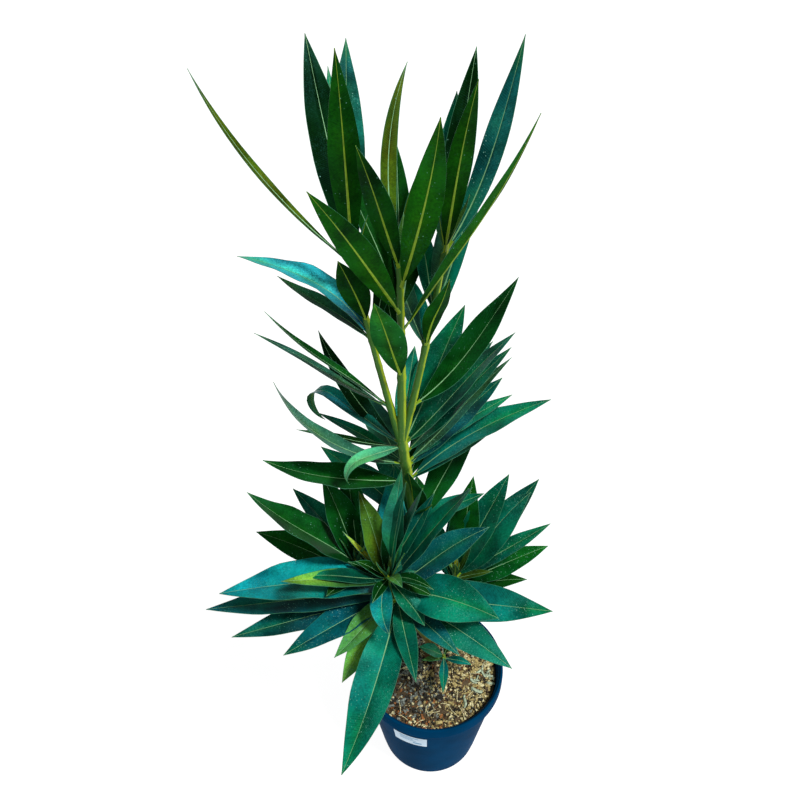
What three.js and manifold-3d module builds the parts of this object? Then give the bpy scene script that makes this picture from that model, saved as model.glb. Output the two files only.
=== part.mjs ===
// Potted oleander: one plant in a round nursery pot, in millimetres, +Z up.
// The origin is the middle of the pot's flat underside. -Y is the front.
import * as THREE from 'three';
import { mergeVertices } from 'three/addons/utils/BufferGeometryUtils.js';
import Module from 'manifold-3d';

const wasm = await Module();
wasm.setup();

// Clearance between neighbouring solids.
const GAP = 0.3;

// Pot
const POT_HEIGHT = 130;
const POT_RIM_RADIUS = 77;
const POT_FOOT_RADIUS = 54;
const POT_WALL = 2.2;
const LIP_HEIGHT = 14;
const LIP_STEP = 1.6;
const POT_SIDES = 48;

// Potting mix
const SOIL_LEVEL = 118;
const SOIL_FLAT_RADIUS = 22;
const SOIL_EDGE_DROP = 3;

// Sticker on the pot's wall
const LABEL_WIDTH = 36;
const LABEL_HEIGHT = 20;
const LABEL_THICKNESS = 0.4;
const LABEL_TURN = 254;
const LABEL_TOP = 104;

// Limbs: each one is a bend from start to end, with its radius at both ends.
const TRUNK = { from: [1, 16, SOIL_LEVEL + GAP], bend: [-11, 9, 278], to: [-29, 2, 438], radii: [5.6, 4.2] };
const ROOT_FLARE = 3.4;
const FLARE_HEIGHT = 0.05;
const CENTRE = { from: [-29, 2, 436], bend: [-28, 0, 520], to: [-29, 0, 597], radii: [3.9, 2.2] };
const LEFT = { from: [-30, 2, 436], bend: [-48, 2, 515], to: [-64, 10, 595], radii: [3.2, 2.1] };
const RIGHT = { from: [-28, 2, 436], bend: [-10, 4, 522], to: [2, 5, 606], radii: [3.2, 2.1] };
const LOW_LEFT = { from: [-2, 14, 172], bend: [-46, 6, 225], to: [-72, -10, 299], radii: [3.6, 2.6] };
const LOW_FRONT = { from: [0, 15, 142], bend: [-22, -10, 215], to: [-41, -31, 305], radii: [4, 2.8] };
const LOW_RIGHT = { from: [-1, 15, 156], bend: [18, 6, 205], to: [21, 0, 274], radii: [3.6, 2.6] };
const SUCKER = { from: [14, 5, SOIL_LEVEL + GAP], bend: [15, 2, 130], to: [13, -2, 146], radii: [1.8, 1.2] };

// Leaves
const LEAF_RINGS = 7;
const LEAF_THICKNESS = 0.012;
const PETIOLE_WIDTH = 3.2;
const PETIOLE_SHARE = 0.05;
const LEAF_FOLD = 0.16;
const COLLAR_WALL = 1.9;
const COLLAR_HEIGHT = 7;

// Foliage masses. A whorl is the height of its node and its leaves, and a leaf is
// [turn, rise, length] with what sets it apart from its mass: turn goes round from
// +X and rise from level, both in degrees from root to tip, and length is in
// millimetres. slim is width over length, droop and bend are how far the midrib
// curves down and round over its length, curl is how far its tip hooks down, and
// roll turns the blade about it.
const MASSES = {
  crown_centre: {
    limb: CENTRE,
    foot: 493,
    slim: 0.16,
    droop: 10,
    whorls: [
      [500, [
        [255, 60, 105, { slim: 0.27, roll: 20 }], [110, 50, 110],
      ]],
      [540, [
        [-15, 62, 180, { slim: 0.1, droop: -10, roll: -20 }],
      ]],
      [555, [
        [80, 50, 105, { slim: 0.2 }], [140, 60, 120], [247, 50, 162, { slim: 0.16, roll: 40 }],
      ]],
      [575, [
        [290, 60, 155, { bend: 30, roll: -20 }], [95, 45, 110], [70, 60, 95],
      ]],
      [590, [
        [90, 55, 140, { slim: 0.1, bend: 60, roll: 20 }], [250, 60, 115, { roll: 20 }],
      ]],
    ],
  },
  crown_left: {
    limb: LEFT,
    foot: 459,
    slim: 0.15,
    droop: 10,
    whorls: [
      [470, [
        [185, 45, 125, { slim: 0.09, droop: -10 }], [175, 30, 120, { slim: 0.09, droop: -10 }],
      ]],
      [530, [
        [165, 27, 117, { slim: 0.23, droop: 65 }], [75, 50, 105], [165, 30, 84, { slim: 0.2 }],
      ]],
      [545, [
        [250, 60, 75, { slim: 0.28, roll: 30 }],
      ]],
      [575, [
        [105, 50, 160, { slim: 0.12 }],
      ]],
      [590, [
        [162, 47, 162, { slim: 0.09, droop: -32 }], [113, 55, 160, { slim: 0.17 }],
        [275, 70, 155, { slim: 0.13 }],
        [96, 40, 185, { slim: 0.14, droop: -20 }],
      ]],
    ],
  },
  crown_right: {
    limb: RIGHT,
    foot: 461,
    slim: 0.16,
    droop: 10,
    whorls: [
      [470, [
        [30, 45, 130, { slim: 0.22, droop: -40 }],
      ]],
      [525, [
        [62, 52, 150], [285, 55, 105, { slim: 0.14 }], [140, 55, 90, { slim: 0.22 }],
        [115, 45, 65, { slim: 0.3 }],
      ]],
      [555, [
        [65, 65, 90], [110, 60, 70, { slim: 0.22 }],
      ]],
      [600, [
        [85, 55, 110, { slim: 0.2 }], [50, 60, 145, { slim: 0.12, droop: -20, bend: -20 }], [75, 60, 135],
        [285, 65, 135, { slim: 0.15 }],
      ]],
    ],
  },
  fork_whorl: {
    limb: TRUNK,
    collar: true,
    slim: 0.22,
    droop: 10,
    whorls: [
      [430, [
        [150, 46, 117, { slim: 0.15, droop: -50 }], [22, 44, 130], [60, 42, 130, { slim: 0.28 }],
        [40, 35, 115],
        [155, 20, 75, { slim: 0.24, droop: 20, curl: 180 }], [175, 5, 90, { slim: 0.1, droop: -20 }],
        [85, 35, 90],
        [215, 0, 52, { slim: 0.24, droop: 30, curl: 80, roll: -20 }],
      ]],
    ],
  },
  upper_whorl: {
    limb: TRUNK,
    collar: true,
    slim: 0.18,
    droop: 20,
    whorls: [
      [410, [
        [195, 45, 140, { slim: 0.15, droop: -60 }], [25, 42, 125, { slim: 0.12, droop: -10 }],
        [30, 20, 110],
        [155, 15, 90, { slim: 0.14 }],
      ]],
    ],
  },
  lower_whorl: {
    limb: TRUNK,
    collar: true,
    slim: 0.22,
    droop: 20,
    whorls: [
      [390, [
        [190, 17, 125, { slim: 0.25, droop: -30 }], [20, 25, 140, { bend: 20 }], [30, 15, 80],
        [120, 15, 120], [75, 20, 80],
      ]],
    ],
  },
  rosette_left: {
    limb: LOW_LEFT,
    foot: 252,
    slim: 0.28,
    droop: 10,
    whorls: [
      [265, [
        [175, 25, 120], [160, 50, 120],
      ]],
      [293, [
        [190, 49, 136, { bend: 30 }], [145, 68, 98, { slim: 0.34 }], [105, 65, 100],
      ]],
    ],
  },
  rosette_front: {
    limb: LOW_FRONT,
    foot: 256,
    slim: 0.28,
    droop: 10,
    whorls: [
      [265, [
        [254, -20, 155, { droop: 40, bend: 20 }], [335, -15, 120, { slim: 0.34, droop: 30, roll: 20 }],
        [198, -2, 155, { slim: 0.22 }], [355, 2, 142, { roll: 20 }], [235, -25, 90],
      ]],
      [272, [
        [285, -8, 85, { slim: 0.32 }], [215, -3, 115], [192, 4, 172, { slim: 0.21 }], [235, 0, 85],
      ]],
      [283, [
        [340, 5, 100, { slim: 0.4, droop: 20, roll: 20 }], [195, 12, 155, { slim: 0.3, droop: 35 }],
        [20, 30, 105, { slim: 0.3 }],
      ]],
      [296, [
        [205, 25, 105, { slim: 0.16 }], [15, 55, 125, { slim: 0.24 }], [130, 60, 90],
        [90, 45, 105, { slim: 0.25 }], [60, 78, 100, { slim: 0.18 }],
      ]],
      [301, [
        [35, 60, 95, { slim: 0.14 }], [330, 20, 50, { droop: 70 }],
        [275, -10, 52, { slim: 0.38, bend: -60 }],
        [100, 30, 75], [80, 60, 55, { slim: 0.24 }], [200, 22, 82, { slim: 0.22 }],
        [170, 20, 40, { slim: 0.26 }],
        [155, 40, 60, { slim: 0.1, droop: 0 }], [155, 30, 35, { slim: 0.34 }], [130, 20, 25, { slim: 0.4 }],
        [350, 35, 30, { slim: 0.3 }],
      ]],
    ],
  },
  rosette_right: {
    limb: LOW_RIGHT,
    foot: 244,
    slim: 0.28,
    droop: 10,
    whorls: [
      [258, [
        [0, 10, 70], [15, 20, 98, { roll: 20 }], [10, 15, 50], [20, 30, 110, { slim: 0.18 }], [120, 30, 90],
      ]],
      [268, [
        [40, 35, 125], [35, 40, 110, { slim: 0.34 }], [35, 30, 85], [45, 55, 115], [75, 55, 100],
        [350, 30, 40],
      ]],
    ],
  },
  sucker: {
    limb: SUCKER,
    foot: SOIL_LEVEL + GAP,
    slim: 0.3,
    droop: 20,
    whorls: [
      [138, [
        [195, 10, 25], [345, 5, 30],
      ]],
      [144, [
        [185, 35, 32, { slim: 0.5 }], [270, -10, 38, { slim: 0.25 }], [60, 30, 30],
      ]],
    ],
  },
  back_whorl: {
    limb: TRUNK,
    collar: true,
    slim: 0.23,
    droop: 20,
    whorls: [
      [330, [
        [60, 25, 130], [115, 20, 135], [140, 10, 130], [20, 20, 70, { slim: 0.28 }],
      ]],
    ],
  },
  low_back_whorl: {
    limb: TRUNK,
    collar: true,
    slim: 0.25,
    droop: 30,
    whorls: [
      [250, [
        [45, 10, 130], [95, 5, 140], [145, 10, 135],
      ]],
    ],
  },
};

// A repeatable random number from 0 to 1 for the n-th choice of one leaf.
function chance(z, turn, length, n) {
  let state = (z * 7919 + turn * 104729 + length * 15485 + 1 + n * 1299709) % 2147483647;
  for (let i = 0; i < 3; i += 1) {
    state = (state * 16807) % 2147483647;
  }
  return state / 2147483647;
}

function limbPoint(limb, t) {
  const curve = new THREE.QuadraticBezierCurve3(
    new THREE.Vector3(...limb.from),
    new THREE.Vector3(...limb.bend),
    new THREE.Vector3(...limb.to),
  );
  return curve.getPoint(t);
}

// The share of the limb at which it reaches the height z.
function shareAtHeight(limb, z) {
  let low = 0;
  let high = 1;
  for (let i = 0; i < 40; i += 1) {
    const middle = (low + high) / 2;
    if (limbPoint(limb, middle).z < z) {
      low = middle;
    } else {
      high = middle;
    }
  }
  return (low + high) / 2;
}

function limbRadius(limb, t) {
  const [first, last] = limb.radii;
  const flare = limb === TRUNK ? ROOT_FLARE * Math.exp(-t / FLARE_HEIGHT) : 0;
  return first + (last - first) * t + flare;
}

// A closed cylinder whose every point is moved by place(x, t, z).
function reshape(sides, steps, place) {
  const geometry = new THREE.CylinderGeometry(1, 1, 1, sides, steps);
  const position = geometry.getAttribute('position');
  for (let i = 0; i < position.count; i += 1) {
    const point = place(position.getX(i), position.getY(i) + 0.5, position.getZ(i));
    position.setXYZ(i, point.x, point.y, point.z);
  }
  return toSolid(geometry);
}

function toSolid(geometry) {
  geometry.deleteAttribute('normal');
  geometry.deleteAttribute('uv');
  const merged = mergeVertices(geometry, 1e-5);
  const mesh = new wasm.Mesh({
    numProp: 3,
    vertProperties: new Float32Array(merged.getAttribute('position').array),
    triVerts: new Uint32Array(merged.getIndex().array),
  });
  return new wasm.Manifold(mesh);
}

function toGeometry(solid) {
  const mesh = solid.getMesh();
  const geometry = new THREE.BufferGeometry();
  geometry.setAttribute('position', new THREE.BufferAttribute(new Float32Array(mesh.vertProperties), 3));
  geometry.setIndex(new THREE.BufferAttribute(new Uint32Array(mesh.triVerts), 1));
  geometry.computeVertexNormals();
  return geometry;
}

// A round limb between two of its shares, its cut ends level.
function limbSolid(limb, start, end, extra = 0, sides = 8, steps = 6) {
  return reshape(sides, steps, (x, t, z) => {
    const share = start + (end - start) * t;
    const radius = limbRadius(limb, share) + extra;
    const centre = limbPoint(limb, share);
    return new THREE.Vector3(centre.x + radius * z, centre.y + radius * x, centre.z);
  });
}

// Half the blade's width, as a share of its full half width.
function bladeShare(t) {
  const s = Math.max(0, (t - PETIOLE_SHARE) / (1 - PETIOLE_SHARE));
  return Math.pow(Math.max(0, Math.sin(Math.PI * Math.pow(s, 0.9))), 0.85);
}

// The leaf's full shape, with its own small and repeatable variation.
function leafShape(mass, z, row) {
  const [turn, rise, length, own = {}] = row;
  const { slim, droop, bend = 0, roll = 0, curl = 0 } = { slim: mass.slim, droop: mass.droop, ...own };
  const vary = (n) => chance(z, turn, length, n);
  return {
    turn,
    rise,
    length,
    width: slim * length * (0.95 + 0.1 * vary(0)),
    droop: droop + 8 * (vary(1) - 0.5),
    roll: roll + 14 * (vary(2) - 0.5),
    bend: bend + 14 * (vary(3) - 0.5),
    curl,
  };
}

// The midrib: small steps that turn from the root's direction to the tip's.
function midrib(root, leaf, steps) {
  const points = [new THREE.Vector3()];
  for (let i = 0; i < steps; i += 1) {
    const t = (i + 0.5) / steps;
    const hook = (leaf.curl * Math.max(0, t - 0.6)) / 0.4;
    const up = THREE.MathUtils.degToRad(leaf.rise + leaf.droop * (0.5 - t) - hook);
    const round = THREE.MathUtils.degToRad(leaf.turn + leaf.bend * (0.5 - t));
    const flat = Math.cos(up);
    const step = new THREE.Vector3(Math.cos(round) * flat, Math.sin(round) * flat, Math.sin(up));
    points.push(points[i].clone().add(step));
  }
  const scale = leaf.length / points[steps].length();
  return points.map((point) => point.multiplyScalar(scale).add(root));
}

// One lance-shaped blade with a folded midrib, four-sided in section.
function leafSolid(root, leaf, extra = 0) {
  const points = midrib(root, leaf, LEAF_RINGS);
  const turn = THREE.MathUtils.degToRad(leaf.turn);
  const level = new THREE.Vector3(Math.sin(turn), -Math.cos(turn), 0);
  const frames = points.map((point, i) => {
    const along = points[Math.min(LEAF_RINGS, i + 1)].clone().sub(points[Math.max(0, i - 1)]).normalize();
    const side = level.clone().addScaledVector(along, -level.dot(along)).normalize();
    side.applyAxisAngle(along, THREE.MathUtils.degToRad(leaf.roll));
    return { point, side, up: side.clone().cross(along) };
  });
  return reshape(4, LEAF_RINGS, (x, t, z) => {
    const frame = frames[Math.round(t * LEAF_RINGS)];
    const half = Math.max((leaf.width / 2) * bladeShare(t), (PETIOLE_WIDTH / 2) * (1 - t) + 0.25) + extra;
    const thick = ((leaf.length * LEAF_THICKNESS) / 2) * (1 - 0.7 * t) + 0.3 + extra;
    const lift = z * thick + Math.abs(x) * LEAF_FOLD * half * bladeShare(t);
    return frame.point.clone().addScaledVector(frame.side, x * half).addScaledVector(frame.up, lift);
  });
}

// A sleeve round the trunk that carries a whorl of leaves.
function collarSolid(limb, z) {
  const start = shareAtHeight(limb, z - COLLAR_HEIGHT / 2);
  const end = shareAtHeight(limb, z + COLLAR_HEIGHT / 2);
  return limbSolid(limb, start, end, GAP + COLLAR_WALL, 8, 2);
}

// The largest of the bodies in a solid, with any sealed hollow filled.
function oneBody(solid) {
  const bodies = solid.decompose();
  bodies.sort((a, b) => b.volume() - a.volume());
  return bodies[0];
}

const WOOD = { color: 0x6f7a35, roughness: 0.75 };
const GREENS = [0x2f6b3a, 0x27604a, 0x3a7a34, 0x2b6a5c];
const group = new THREE.Group();
const limbs = [];

function addMesh(name, solid, look) {
  const { color, roughness } = look;
  const material = new THREE.MeshStandardMaterial({ color, roughness, metalness: 0 });
  const mesh = new THREE.Mesh(toGeometry(solid), material);
  mesh.name = name;
  group.add(mesh);
  return mesh;
}

function potRadius(z) {
  return POT_FOOT_RADIUS + ((POT_RIM_RADIUS - LIP_STEP - POT_FOOT_RADIUS) * z) / POT_HEIGHT;
}

// A ring or disc turned round the vertical axis.
function turned(profile, sides) {
  const points = profile.map(([radius, z]) => new THREE.Vector2(radius, z));
  const geometry = new THREE.LatheGeometry(points, sides);
  geometry.rotateX(Math.PI / 2);
  return toSolid(geometry);
}

function buildPot() {
  const under = POT_HEIGHT - LIP_HEIGHT;
  const inner = (z) => potRadius(z) - POT_WALL;
  const floor = 2.5;
  const profile = [
    [0, 0],
    [POT_FOOT_RADIUS - 2, 0],
    [POT_FOOT_RADIUS, 2],
    [potRadius(under), under],
    [POT_RIM_RADIUS - 0.8, under + 1],
    [POT_RIM_RADIUS, under + 3],
    [POT_RIM_RADIUS, POT_HEIGHT - 1.5],
    [POT_RIM_RADIUS - 1.2, POT_HEIGHT],
    [POT_RIM_RADIUS - 3, POT_HEIGHT],
    [inner(POT_HEIGHT) - 0.4, POT_HEIGHT - 2],
    [inner(floor), floor],
    [0, floor],
  ];
  addMesh('pot', turned(profile, POT_SIDES), { color: 0x1f3f66, roughness: 0.45 });
}

function buildSoil() {
  const inner = (z) => potRadius(z) - POT_WALL - 0.4 * (z / POT_HEIGHT) - GAP;
  const bottom = 2.5 + GAP;
  const edge = SOIL_LEVEL - SOIL_EDGE_DROP;
  const profile = [
    [0, bottom],
    [inner(bottom), bottom],
    [inner(edge), edge],
    [inner(edge) - 14, SOIL_LEVEL - 1],
    [SOIL_FLAT_RADIUS, SOIL_LEVEL],
    [0, SOIL_LEVEL],
  ];
  addMesh('potting_mix', turned(profile, POT_SIDES), { color: 0x7a6650, roughness: 0.95 });
}

function buildLabel() {
  const bottom = LABEL_TOP - LABEL_HEIGHT;
  const profile = [
    [potRadius(bottom) + GAP, bottom],
    [potRadius(bottom) + GAP + LABEL_THICKNESS, bottom],
    [potRadius(LABEL_TOP) + GAP + LABEL_THICKNESS, LABEL_TOP],
    [potRadius(LABEL_TOP) + GAP, LABEL_TOP],
    [potRadius(bottom) + GAP, bottom],
  ];
  const box = new THREE.BoxGeometry(40, LABEL_WIDTH, 200);
  box.translate(potRadius(LABEL_TOP), 0, bottom);
  box.rotateZ(THREE.MathUtils.degToRad(LABEL_TURN));
  addMesh('label', turned(profile, POT_SIDES).intersect(toSolid(box)), { color: 0xe9eef2, roughness: 0.6 });
}

function buildLimbs() {
  addMesh('trunk', limbSolid(TRUNK, 0, 1, 0, 12, 16), WOOD);
  limbs.push({ limb: TRUNK, keepOut: limbSolid(TRUNK, 0, 1.01, GAP, 12, 16) });
  const boughs = [
    ['bough_centre', 'crown_centre'],
    ['bough_left', 'crown_left'],
    ['bough_right', 'crown_right'],
    ['low_bough_left', 'rosette_left'],
    ['low_bough_front', 'rosette_front'],
    ['low_bough_right', 'rosette_right'],
  ];
  for (const [name, mass] of boughs) {
    const { limb, foot } = MASSES[mass];
    const end = shareAtHeight(limb, foot - GAP);
    let solid = limbSolid(limb, 0, end);
    for (const other of limbs) {
      solid = solid.subtract(other.keepOut);
    }
    addMesh(name, oneBody(solid), WOOD);
    limbs.push({ limb, keepOut: limbSolid(limb, 0, end, GAP), stem: limbSolid(limb, end, 1, GAP) });
  }
}

function touches(solid, others) {
  return others.some((other) => solid.intersect(other).volume() > 0.001);
}

// Every other limb, with the stems of its mass, and the leaf's own limb below its mass.
function keptOut(mass) {
  const solids = [];
  for (const { limb, keepOut, stem } of limbs) {
    if (!(mass.collar && limb === mass.limb)) {
      solids.push(keepOut);
    }
    if (stem && limb !== mass.limb) {
      solids.push(stem);
    }
  }
  return solids;
}

// The mass's own stem, or a collar where the trunk runs through it.
function massStem(mass) {
  if (mass.collar) {
    return collarSolid(mass.limb, mass.whorls[0][0]);
  }
  const stem = limbSolid(mass.limb, shareAtHeight(mass.limb, mass.foot), 1);
  const strangers = limbs.filter(({ limb }) => limb !== mass.limb);
  return strangers.reduce((left, { keepOut }) => left.subtract(keepOut), stem);
}

function massSolid(mass, others) {
  const { limb } = mass;
  let solid = massStem(mass);
  for (const [z, rows] of mass.whorls) {
    const root = limbPoint(limb, shareAtHeight(limb, z));
    for (const row of rows) {
      const leaf = leafShape(mass, z, row);
      if (!touches(leafSolid(root, leaf, GAP), others)) {
        solid = solid.add(leafSolid(root, leaf));
      }
    }
  }
  return oneBody(mass.collar ? solid.subtract(limbs[0].keepOut) : solid);
}

function buildMasses() {
  const placed = [];
  Object.entries(MASSES).forEach(([name, mass], index) => {
    const body = massSolid(mass, [...keptOut(mass), ...placed]);
    placed.push(body);
    addMesh(name, body, { color: GREENS[index % GREENS.length], roughness: 0.5 });
  });
}

buildPot();
buildSoil();
buildLabel();
buildLimbs();
buildMasses();

export default group;
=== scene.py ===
"""Potted oleander: the looks of the plant, its pot and its potting mix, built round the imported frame.

It is laid out as an add-on and run as a script. The tables of limbs and leaves are in
millimetres, as in the part's own source, and Blender's objects are in metres.
"""
import math
import random
from functools import cached_property

import bpy
import numpy as np
from mathutils import Matrix, Vector


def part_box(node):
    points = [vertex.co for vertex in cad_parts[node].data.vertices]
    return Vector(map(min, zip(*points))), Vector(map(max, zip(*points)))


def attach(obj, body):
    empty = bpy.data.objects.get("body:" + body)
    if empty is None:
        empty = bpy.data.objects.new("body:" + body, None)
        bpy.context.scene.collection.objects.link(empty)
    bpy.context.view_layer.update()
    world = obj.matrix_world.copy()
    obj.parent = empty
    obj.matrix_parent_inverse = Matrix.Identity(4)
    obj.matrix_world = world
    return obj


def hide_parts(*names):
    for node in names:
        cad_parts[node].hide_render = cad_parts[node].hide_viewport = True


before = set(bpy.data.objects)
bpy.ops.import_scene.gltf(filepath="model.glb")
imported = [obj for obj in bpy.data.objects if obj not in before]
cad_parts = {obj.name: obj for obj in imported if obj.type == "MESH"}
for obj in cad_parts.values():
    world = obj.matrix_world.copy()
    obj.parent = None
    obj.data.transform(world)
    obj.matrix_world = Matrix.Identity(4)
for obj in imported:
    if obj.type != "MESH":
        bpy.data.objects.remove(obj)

bl_info = {
    "name": "Potted oleander",
    "version": (1, 0, 0),
    "blender": (4, 5, 0),
    "location": "3D View > Sidebar > Oleander",
    "description": "Builds a potted oleander, its pot and its potting mix round the packed frame",
    "category": "Add Mesh",
}

MM = 0.001
TURN = 2 * math.pi
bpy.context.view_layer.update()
POT_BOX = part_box("pot")
MIX_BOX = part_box("potting_mix")
LABEL_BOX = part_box("label")
LABEL_TURN = math.radians(254)
LABEL_GAP = 0.3 * MM
# The lower and upper edge of each line as shares of the sticker's height, and its sides in millimetres.
STICKER_LINES = ((0.78, 0.86, -11, 9), (0.62, 0.68, -11, 3), (0.47, 0.53, -11, 6), (0.2, 0.34, 3, 12))
WHITE = (1.0, 1.0, 1.0, 1.0)
FLOOR_SIZE = 90
KEY_DIRECTION = (-0.55, 0.35, -1.0)
CAMERA_PLACE = (0, -0.438, 0.804)

# Limbs: each one is a bend from start to end, with its radius at both ends.
LIMBS = {
    "trunk": ((1, 16, 118.3), (-11, 9, 278), (-29, 2, 438), (5.6, 4.2)),
    "centre": ((-29, 2, 436), (-28, 0, 520), (-29, 0, 597), (3.9, 2.2)),
    "left": ((-30, 2, 436), (-48, 2, 515), (-64, 10, 595), (3.2, 2.1)),
    "right": ((-28, 2, 436), (-10, 4, 522), (2, 5, 606), (3.2, 2.1)),
    "low_left": ((-2, 14, 172), (-46, 6, 225), (-72, -10, 299), (3.6, 2.6)),
    "low_front": ((0, 15, 142), (-22, -10, 215), (-41, -31, 305), (4, 2.8)),
    "low_right": ((-1, 15, 156), (18, 6, 205), (21, 0, 274), (3.6, 2.6)),
    "sucker": ((14, 5, 118.3), (15, 2, 130), (13, -2, 146), (1.8, 1.2)),
}
# The root flare widens the trunk's foot by this much, over this share of its length.
ROOT_FLARE = 3.4
FLARE_SHARE = 0.05

# Each bough with its limb, the mass that it carries, the height at which it enters the mass,
# and the turn of the first young leaf at its tip.
BOUGHS = {
    "bough_centre": ("centre", "crown_centre", 493, 20),
    "bough_left": ("left", "crown_left", 459, 45),
    "bough_right": ("right", "crown_right", 461, 70),
    "low_bough_left": ("low_left", "rosette_left", 252, 10),
    "low_bough_front": ("low_front", "rosette_front", 256, 50),
    "low_bough_right": ("low_right", "rosette_right", 244, 85),
}

# The leaf kinds that have the same underside. The upper side is the material blade_KIND.
UNDERSIDES = {
    "back_dark": ("shade",),
    "back_bright": ("deep", "moss", "bright"),
    "back_fresh": ("forest", "sea", "teal", "ink", "slate"),
    "back_pale": ("pool", "sage", "olive", "spring", "lime", "mint", "frosted"),
    "back_frost": ("frost",),
}
BACK_OF_KIND = {kind: back for back, kinds in UNDERSIDES.items() for kind in kinds}
DULL_KINDS = ("shade", "deep", "forest", "moss", "olive")

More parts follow.
